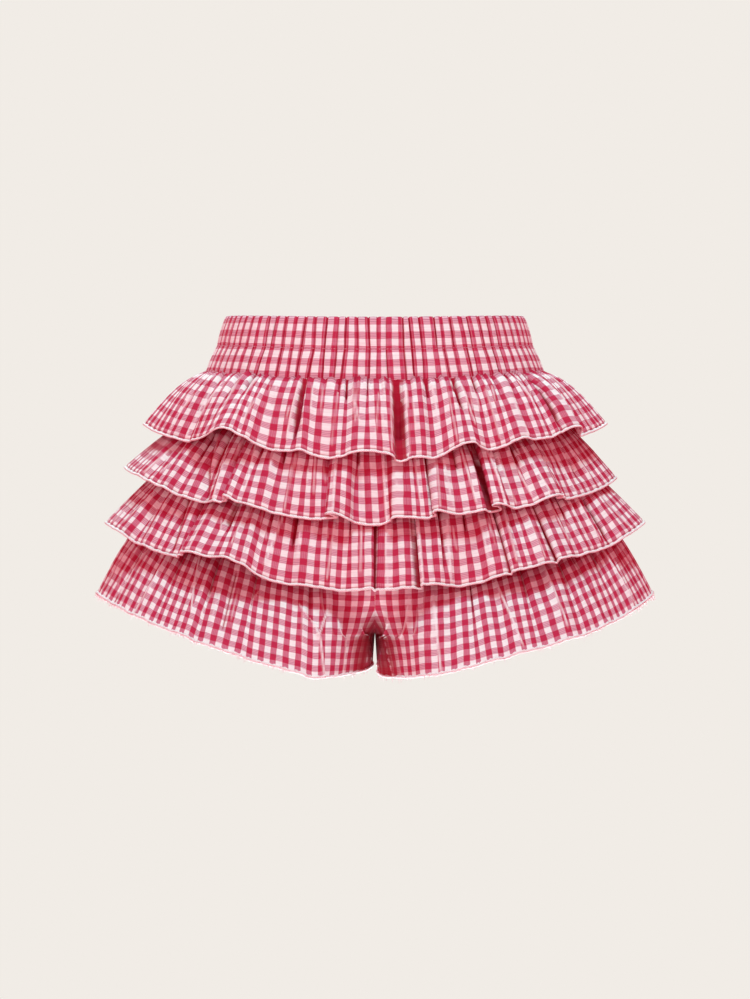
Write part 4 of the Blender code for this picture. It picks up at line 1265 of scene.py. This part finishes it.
def leg_shape(half, share, fall):
    """The leg tier on the wearer's left before its folds. Y is the depth, as in leg_top."""
    first = math.asin(LEG_TURN_X / SEAM_4.side)
    inner = share < LEG_TURN
    part = np.where(inner, share / LEG_TURN, (share - LEG_TURN) / (1.0 - LEG_TURN))
    turn = np.where(inner, first * part, between(first, QUARTER, part))
    top = leg_top(half, turn)
    # Outside the turn, straight lines run from the seam to an oval hem.
    over = np.sin(QUARTER * part)
    climb = between(over, over**4, LEG_HEM_STEEPER)
    hem_x = between(LEG_TURN_X, LEG_HEM_SIDE, over)
    hem_y = LEG_HEM_DEPTH[half] * np.cos(QUARTER * part)
    hem = join(hem_x, hem_y, between(LEG_HEM_LOW, LEG_HEM_SIDE_Z, climb))
    outer_leg = between(top, hem, fall[..., None])
    # Inside it, each row goes from the centre seam to the turn: level at first, an arc lower down.
    turn_top = leg_top(half, np.array(first))
    turn_hem = np.array([LEG_TURN_X, LEG_HEM_DEPTH[half], LEG_HEM_LOW])
    end = between(turn_top, turn_hem, fall[..., None])
    start = centre_seam(half, fall)
    turned = smooth(fall / CROTCH_FALL)
    level_x = np.sin(turn) / math.sin(first)
    level_y = (1.0 - np.cos(turn)) / (1.0 - math.cos(first))
    arc_start = np.arcsin(np.minimum(start[..., 1] / end[..., 1], ARC_LIMIT))
    arc = between(arc_start, QUARTER, part)
    round_x = 1.0 - np.cos(arc) / np.cos(arc_start)
    round_y = (np.sin(arc) - np.sin(arc_start)) / (1.0 - np.sin(arc_start))
    inner_x = between(start[..., 0], end[..., 0], between(level_x, round_x, turned))
    inner_y = between(start[..., 1], end[..., 1], between(level_y, round_y, turned))
    inner_z = between(top[..., 2], between(INSEAM_HEM_Z, LEG_HEM_LOW, part), fall)
    inner_leg = join(inner_x, inner_y, inner_z)
    return np.where(inner[..., None], inner_leg, outer_leg)


print("crotch at", round(CROTCH_FALL, 3), "of the way down the centre")

# %% [markdown]
# The legs' folds are fewer and softer than the ruffles', because their hem is cut nearly as long as
# it hangs. What shows most is thin pressed ridges, straight up from the hem. Across a quarter, share 0
# is the centre seam and share 1 the side seam. The hem is only overlocked with thin thread and has
# frayed a little, so its edge is finer and less even than the ruffles'.

# %% Leg folds and creases
SEAM_END = (3.0, 1.5, 0.0, 0.6, 0.1)
LEG_FOLD = (7.0, 2.5, 0.3, 0.5, 0.2)
LEG_FOLDS = {
    ("front", "right"): [0.41, 0.52, 0.61, 0.70, 0.84],
    ("front", "left"): [0.47, 0.58, 0.675, 0.775, 0.87],
    ("back", "right"): [0.43, 0.56, 0.68, 0.78, 0.89],
    ("back", "left"): [0.45, 0.56, 0.65, 0.76, 0.87],
}
LEG_CREASES = {
    ("front", "right"): [
        (0.025, 0.86, 0.05, 1, 1, 1.6), (0.05, 0.8, 0.09, 1, 1.2, 1.6), (0.085, 0.72, 0.12, 1, -1.8, 1.8),
        (0.13, 0.55, 0.14, 1, 1.2, 2.8), (0.27, 0.45, 0.27, 1, 1.3, 2.1),
        (0.43, 0.35, 0.385, 0.62, 1.6, 2.1), (0.33, 0.35, 0.385, 0.62, 1.6, 2.1),
        (0.385, 0.6, 0.36, 1, 2, 2.4), (0.565, 0.15, 0.565, 0.8, -2.6, 6),
        (0.66, 0.1, 0.63, 0.75, 1.2, 2.1), (0.735, 0.05, 0.75, 1, 2.2, 2.4),
        (0.8, 0.1, 0.83, 0.9, 1.5, 2.1), (0.87, 0.1, 0.9, 0.95, 1.3, 2.1),
    ],
    ("front", "left"): [
        (0.02, 0.86, 0.04, 1, 1, 1.6), (0.045, 0.8, 0.075, 1, 1.2, 1.6), (0.07, 0.7, 0.11, 1, -1.8, 1.8),
        (0.11, 0.4, 0.13, 1, 1.5, 2.4), (0.15, 0.6, 0.19, 1, 1.3, 2), (0.23, 0.3, 0.24, 1, 1.6, 2.4),
        (0.4, 0.3, 0.41, 1, 1.3, 2.1), (0.52, 0.15, 0.55, 0.95, 1.4, 2.1),
        (0.63, 0.15, 0.64, 0.9, 1.6, 2.4), (0.71, 0.1, 0.73, 0.95, -2.3, 5),
        (0.8, 0.1, 0.82, 0.95, 1.7, 2.1), (0.89, 0.1, 0.91, 0.95, 1.5, 2.1),
    ],
    ("back", "right"): [
        (0.15, 0.4, 0.15, 1, 1.4, 2.4), (0.38, 0.2, 0.4, 1, 1.5, 2.1), (0.49, 0.25, 0.47, 0.9, -2.1, 5),
        (0.62, 0.1, 0.61, 0.8, 1.6, 2.1), (0.73, 0.1, 0.75, 1, 1.8, 2.4), (0.85, 0.1, 0.86, 0.9, 1.3, 2.1),
    ],
    ("back", "left"): [
        (0.14, 0.45, 0.15, 1, 1.4, 2.4), (0.27, 0.3, 0.28, 0.9, 1.4, 2.1), (0.4, 0.2, 0.39, 1, 1.7, 2.4),
        (0.51, 0.15, 0.52, 0.7, -2, 5), (0.6, 0.1, 0.62, 0.95, 1.5, 2.1), (0.71, 0.1, 0.7, 0.9, 1.6, 2.1),
        (0.83, 0.1, 0.85, 1, 1.6, 2.1),
    ],
}
LEG_HEMS = {
    ("front", "right"): [(0, 1), (0.2, 0.5), (0.36, -0.5), (0.5, 0), (0.7, 2.2), (0.85, 1.6), (1, 0)],
    ("front", "left"): [
        (0, -4.5), (0.12, -4.5), (0.25, -2), (0.4, 1), (0.55, 0), (0.7, -2.4), (0.85, -0.8), (1, 0),
    ],
    ("back", "right"): [(0, 1), (0.3, 0), (0.6, 0.5), (1, 0)],
    ("back", "left"): [(0, 0), (0.35, -0.8), (0.65, 0.6), (1, 0)],
}
print("creases in the legs:", sum(len(table) for table in LEG_CREASES.values()))

# %% Laying out a leg
LEG_EASE = 1.1
INNER_COLUMNS = 56
TURN_COLUMN = INNER_COLUMNS - 1
TURN_REACH = 14  # columns on each side of the turn that are smoothed
TURN_PASSES = 40
FAN = 0.32  # how much of the cloth that turns in towards the crotch shows as new threads
ROW_DIPS = 0.04  # how far the rows of checks dip for each millimetre that the cloth turns inwards
DIPS_FROM = 0.92  # of the way down to the crotch
DIPS_OVER = 0.35


def lay_leg(base, folds, places, fall):
    """Shares and grain of a leg's grid: threads stay whole, so the inner part has more at the hem."""
    halves = [1.0] * (len(folds) - 1) + [0.5]
    ends = (LEG_TURN, 1.0)
    laid = lay_columns(base, ends, folds, halves, places, fall, LEG_EASE, CHECK / 2)
    outer, cloth, at, folds = laid
    inner = np.linspace(0.0, LEG_TURN, INNER_COLUMNS)
    inner, down = np.broadcast_arrays(inner, fall)
    points = base(inner, down)
    along = lengths_along(points)
    inside = (along[:, -1:] - along) * LEG_EASE
    inwards = points[:, -1:] - points
    seen = inwards[..., 0] + FAN * smooth(fall) * inwards[..., 1]
    shares = np.concatenate([inner[:, :-1], outer], axis=1)
    u = np.concatenate([-seen[:, :-1] * LEG_EASE, np.broadcast_to(cloth, outer.shape)], axis=1)
    points = base(shares, np.broadcast_to(fall, shares.shape))
    height = lengths_along(np.swapaxes(points, 0, 1)).T
    height = height[-1:] - height
    turn = slice(TURN_COLUMN, TURN_COLUMN + 1)
    inwards = points[:, turn, 1] - points[:, :TURN_COLUMN, 1]
    dips = ROW_DIPS * smooth((fall / CROTCH_FALL - DIPS_FROM) / DIPS_OVER)
    height[:, :TURN_COLUMN] = height[:, turn] + dips * inwards
    true_u = np.concatenate([-inside[:, :-1], u[:, TURN_COLUMN:]], axis=1)
    return shares, u, true_u, height, at, folds


def round_turn(points):
    """Smooth the cloth where the front of a leg turns in towards the crotch."""
    first, last = TURN_COLUMN - TURN_REACH, TURN_COLUMN + TURN_REACH
    for _ in range(TURN_PASSES):
        left, right = points[:, first - 1 : last - 1], points[:, first + 1 : last + 1]
        points[:, first:last] = (left + 2.0 * points[:, first:last] + right) / 4.0
    return points


print("columns that turn in on each leg:", INNER_COLUMNS)

# %% Loose threads
FRAY_LONG = 5.0
FRAY_SHARES = (0.25, 1.0)
FRAY_ASIDE = 0.8  # how far it leans over, as a share of its length
FRAY_ROUND = 0.5
FRAY_SIDES = 3


def sew_fray(name, middle, seed):
    """Loose thread ends at the hem: thin three-sided spikes of random length."""
    dice = np.random.default_rng(seed + 70)
    count = middle.shape[1] // 2
    roots = np.sort(dice.choice(np.arange(2, middle.shape[1] - 2), count, replace=False))
    down = unit(middle[-1, roots] - middle[-2, roots])
    ahead = unit(middle[-1, roots + 1] - middle[-1, roots])
    long = FRAY_LONG * dice.uniform(*FRAY_SHARES, (count, 1)) ** 2
    aside = long * dice.uniform(-FRAY_ASIDE, FRAY_ASIDE, (count, 1))
    root = middle[-1, roots] + down * 0.5 * LEG_CORD.radius
    tip = middle[-1, roots] + down * (LEG_CORD.radius + long) + ahead * aside
    ring = rings(root, ahead, np.cross(ahead, down), FRAY_ROUND, FRAY_SIDES)
    points = np.concatenate([ring, tip[:, None]], axis=1).reshape(-1, 3)
    spike = np.array([(1, 0, 3), (2, 1, 3), (0, 2, 3), (0, 1, 2)])
    faces = (4 * np.arange(count)[:, None, None] + spike).reshape(-1, 3)
    return make_mesh(name, points, faces.tolist(), points[:, :2], OVERLOCK)


print("loose threads are up to", FRAY_LONG, "mm long")

# %% Sewing a leg
LEG_ROWS = 46
LEG_BULGE = 2.0
LEG_RIPPLE = 0.7  # share of a ruffle's
LEG_PUFF = 0.6
LEG_SLOT = 0.5
LEG_FINE = (22, 0.2, 0.97)  # how many fine creases, and from which share to which
HEM_POWER = 3
CENTRE_QUIET, SIDE_SEAM_QUIET = 0.2, 0.1  # shares near the seams where the cloth is flatter
CENTRE_FLAT, SIDE_SEAM_FLAT = 0.08, 0.03
SHADE_FROM = 10.0  # mm that the cloth has turned inwards where its painted shade begins
SHADE_OVER = 60.0
# painted shade in the folds, and on the inner leg towards the crotch
FOLD_PAINTED_SHADE = 0.7
INNER_PAINTED_SHADE = 0.9


def sew_leg(half, side, seed):
    """Sew one quarter of the leg tier. It is worked out on the left, then set in its own place."""
    places = LEG_FOLDS[half, side]
    folds = [Fold(place, *LEG_FOLD) for place in places] + [Fold(1.0, *SEAM_END)]
    fall = np.linspace(0.0, 1.0, LEG_ROWS)[:, None]

    def base(share, down):
        points = leg_shape(half, share, down)
        points[..., 2] += curve_through(LEG_HEMS[half, side], share) * down**HEM_POWER
        return points

    laid = lay_leg(base, folds, np.array([*places, 1.0]), fall)
    shares, u, true_u, height, at, folds = laid
    middle = round_turn(base(shares, np.broadcast_to(fall, shares.shape)))
    cloth = u[0] - u[0, 0]
    at = np.array(at) - u[0, 0]
    deep, _, dark = slots(cloth, folds, at, fall)
    quiet = smooth(shares / CENTRE_QUIET) * smooth((1.0 - shares) / SIDE_SEAM_QUIET)
    out = LEG_BULGE * np.sin(math.pi * fall) * smooth(shares / LEG_TURN)
    out += puckers(cloth, fall, seed, shares[-1], LEG_PUCKER) * quiet
    out += ripples(cloth, fall, seed, LEG_RIPPLE) * quiet
    out -= (LEG_SLOT * deep + puffs(cloth, folds, at, fall, LEG_PUFF)) * quiet
    table = rows_of(Crease, LEG_CREASES[half, side]) + fine_creases(seed, *LEG_FINE)
    ridges, crest = creases(table, shares, fall, spread_of(middle, shares))
    out += ridges * smooth(shares / CENTRE_FLAT) * smooth((1.0 - shares) / SIDE_SEAM_FLAT)
    # Painted shade on the inner leg, where the cloth turns in towards the crotch, and in the folds.
    inwards = middle[:, TURN_COLUMN : TURN_COLUMN + 1, 1] - middle[..., 1]
    inner_painted_shade = smooth((inwards - SHADE_FROM) / SHADE_OVER) * (shares < LEG_TURN)
    crest = crest - FOLD_PAINTED_SHADE * dark - INNER_PAINTED_SHADE * inner_painted_shade
    middle[:, -1, 1] = HALF_GAP
    middle = middle * [1.0 if side == "left" else -1.0, -1.0 if half == "front" else 1.0, 1.0]
    if (half == "front") != (side == "left"):
        grids = (middle, out, crest, u, true_u, height)
        middle, out, crest, u, true_u, height = [grid[:, ::-1] for grid in grids]
    middle = middle + facing(middle) * out[..., None]
    grain = join(u, height + HEM_PHASE)
    node = f"leg_{half}_{side}"
    piece = sew_cloth(node, middle, grain, crest)
    edge = roll_edge("edge_" + node, middle, LEG_CORD)
    fray = sew_fray("fray_" + node, middle, seed)


for seed, (half, side) in enumerate(LEG_FOLDS, start=41):
    sew_leg(half, side, seed)

# %% [markdown]
# ## Stitches
#
# The waistband is one doubled strip, and a line of lockstitches, a little under 3 mm each, parts it
# into two casings. Every stitch is a short fat thread that dips into the cloth at its ends, so each
# one is a small spindle.

# %% Stitches
STITCH_LONG = 2.4
STITCH_STEP = 3.0
STITCH_ROUND = 0.3
STITCH_SINK = 0.8  # how far its middle stands off the cloth, as a share of its thickness
STITCH_SIDES = 6
SPINDLE = np.array([(-0.5, 0.15), (-0.3, 0.8), (0.0, 1.0), (0.3, 0.8), (0.5, 0.15)])


def sew_stitches(name, line, turn):
    """A row of stitches along a line of points. SPINDLE has each ring's place and thickness."""
    along = lengths_along(line[None])[0]
    centres = np.arange(STITCH_STEP, along[-1] - STITCH_STEP / 2, STITCH_STEP)
    at = centres[:, None] + STITCH_LONG * SPINDLE[:, 0]
    thick = np.broadcast_to(STITCH_ROUND * SPINDLE[:, 1], at.shape)
    out = outward(CHANNEL, turn)
    spot, face = [join(*[np.interp(at, along, row) for row in grid.T]) for grid in (line, out)]
    spot = spot + face * (STITCH_SINK * thick)[..., None]
    points = rings(spot, face, UP, thick, STITCH_SIDES).reshape(-1, 3)
    grain = thread_grain(at, STITCH_ROUND, STITCH_SIDES)
    faces = []
    for start in range(0, len(points), len(SPINDLE) * STITCH_SIDES):
        faces += tube_faces(len(SPINDLE), STITCH_SIDES, start)
    print(name, len(centres), "stitches")
    return make_mesh(name, points, faces, grain, STITCH)


print("points in a stitch:", len(SPINDLE) * STITCH_SIDES)

# %% [markdown]
# ## The elastic waistband
#
# Each of the two casings has a flat elastic inside. The elastic is shorter than the cloth, so the
# cloth ruches into close upright folds. They are pinched flat by the stitches and swell between them.
# The folds are uneven, which is what makes the columns of checks look now wide, now narrow.

# %% Gathers of the waistband
BAND_UNEVEN = 2.6  # mm by which a gather misses the middle of a red stripe
BAND_CLOTH = 1.27  # cloth to a millimetre of waist
BAND_SLOT = 1.1  # mm of cloth on each side of the dark of a fold
BAND_LIP = 1.0  # mm of cloth that rounds into it
BAND_HIDE = 0.4  # share of the cloth that a fold hides
BAND_STEP = 0.68
BAND_LEAN = 1.2
BAND_TURNS = 600
BAND_LEAST = 0.15  # depth of the shallowest fold, as a share of the deepest
BAND_BOW = 0.3  # how far the cloth rounds off from the middle of a gather to its folds
BAND_PAINTED_HIGHLIGHT = 0.4  # painted highlight on the lips of a fold
BAND_HIGHLIGHT_HALF = 0.5  # mm, the half width of that painted highlight
# painted shade in the dark of a fold
BAND_PAINTED_SHADE = 1.4


def band_gathers(half, seed):
    """Turn of each column and the cloth it stands for, with its height and painted light for each line."""
    dice = np.random.default_rng(seed)
    start = -QUARTER if half == "front" else QUARTER
    fine = np.linspace(start, start + 2 * QUARTER, BAND_TURNS)
    along = lengths_along(on_line(CHANNEL, fine)[None])[0]
    total = along[-1] * BAND_CLOTH
    gathers = int(total / CHECK)
    knots = (np.arange(1, gathers) + 0.5) * CHECK + BAND_UNEVEN * dice.uniform(-1, 1, gathers - 1)
    knots = np.concatenate([[0.0], knots, [total]])
    cloth = np.linspace(0.0, total, int(total / BAND_STEP) + 1)
    which, share = between_knots(cloth, knots)
    near = np.maximum(np.minimum(cloth - knots[which], knots[which + 1] - cloth), 0.0)
    weight = 1.0 - BAND_HIDE * np.clip((BAND_SLOT + BAND_LIP - near) / BAND_LIP, 0, 1)
    covered = np.concatenate([[0.0], np.cumsum((weight[1:] + weight[:-1]) / 2)])
    turn = np.interp(covered / covered[-1] * along[-1], along, fine)
    after = (which + (share > 0.5)) % gathers
    tall = dice.uniform(BAND_LEAST, 1.0, (2, gathers))[:, after]
    crest = -tall * smooth((BAND_SLOT + 0.4 * BAND_LIP - near) / BAND_LIP)
    crest = crest - BAND_BOW * (2.0 * share - 1.0) ** 2
    # Painted light: a painted highlight on the lips of each fold and painted shade in its dark.
    lip = (near - BAND_SLOT - 0.8 * BAND_LIP) / BAND_HIGHLIGHT_HALF
    painted_light_mark = BAND_PAINTED_HIGHLIGHT * tall * np.exp(-(lip**2))
    painted_light_mark = painted_light_mark - np.minimum(BAND_PAINTED_SHADE * tall, 1.0) * np.exp(-((near / BAND_SLOT) ** 4))
    leans = dice.uniform(-1, 1, (3, gathers + 1))
    leans[:, [0, -1]] = 0.0
    lean = [BAND_LEAN * np.interp(cloth, knots, row) for row in leans]
    return turn, crest, lean, painted_light_mark, cloth


print("cloth in the waistband's front:", round(BAND_CLOTH * math.pi * 110), "mm")

# %% Waistband
BAND_ROWS = 15  # in each casing
BAND_HALF = 0.6  # from its middle line to its faces
BAND_PUFF = 0.9
BAND_RIDGE = 2.0
BAND_PINCH = 0.3  # share of a gather's height that the stitches leave
BAND_ROUND = 0.6  # power of the casing's swell, and mm by which its top edge is rounded
OUTER_LIFT = (0.8, 0.9)  # of the top edge, in mm, and in mm to a full gather
INNER_LIFT = (0.4, 0.5)
RED_ROW = 2.8  # mm from the top edge to the first red row


def sew_waistband(half, seed):
    """Sew one half of the waistband, casing by casing from the top, and its stitches."""
    turn, crests, leans, painted_light_marks, cloth = band_gathers(half, seed)
    turn[[0, -1]] += np.array([1, -1]) * HALF_GAP / WAIST_TOP.front
    shares = np.linspace(0.0, 1.0, BAND_ROWS)
    outer, inner, height, painted_light_mark = [], [], [], []
    along = sideways_round(turn)
    for casing, (upper, lower) in enumerate([(WAIST_TOP, CHANNEL), (CHANNEL, SEAM_1)]):
        top, low = on_line(upper, turn), on_line(lower, turn)
        out = outward(upper, turn)
        for share in shares if upper == CHANNEL else shares[:-1]:
            swell = math.sin(math.pi * share) ** BAND_ROUND
            pinch = BAND_PINCH + (1.0 - BAND_PINCH) * swell
            lean = leans[casing] * (1.0 - share) + leans[casing + 1] * share
            middle = between(top, low, share) + along * lean[:, None]
            face = BAND_HALF + BAND_PUFF * swell + BAND_RIDGE * pinch * crests[casing]
            back = BAND_RIDGE + BAND_HALF
            if upper == WAIST_TOP and share == 0.0:
                face = face - BAND_ROUND
                back = 1.5 * BAND_HALF + 0.5 * BAND_RIDGE
            outer.append(middle + out * face[:, None])
            inner.append(middle - out * back)
            height.append(np.linalg.norm(middle - on_line(WAIST_TOP, turn), axis=1).mean())
            painted_light_mark.append(painted_light_marks[casing])
    outer, inner, height = np.array(outer), np.array(inner), np.array(height)
    for grid, (lift, more) in ((outer, OUTER_LIFT), (inner, INNER_LIFT)):
        grid[0] += UP * (lift + more * crests[0][:, None])
    v = -(height - RED_ROW) + CHECK / 2
    grain = join(cloth, v[:, None])
    node = f"waistband_{half}"
    piece = sew_shell(node, outer, inner, grain, np.array(painted_light_mark))
    stitches = sew_stitches(f"stitches_{half}", outer[BAND_ROWS - 1], turn)
    print(piece.name, "strip of", round(cloth[-1]), "by", round(height[-1]), "mm")


for seed, half in ((3, "front"), (4, "back")):
    sew_waistband(half, seed)

# %% [markdown]
# ## Triangles
#
# The triangles of every piece that is shown are counted before the scene is closed. The dressed
# garment has to keep the size of the solids that it stands for.

# %% Finish
triangles = 0
for piece in bpy.data.objects:
    if piece.type == "MESH" and "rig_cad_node" not in piece and not piece.hide_render:
        piece.data.calc_loop_triangles()
        triangles += len(piece.data.loop_triangles)
print("triangles shown:", triangles)
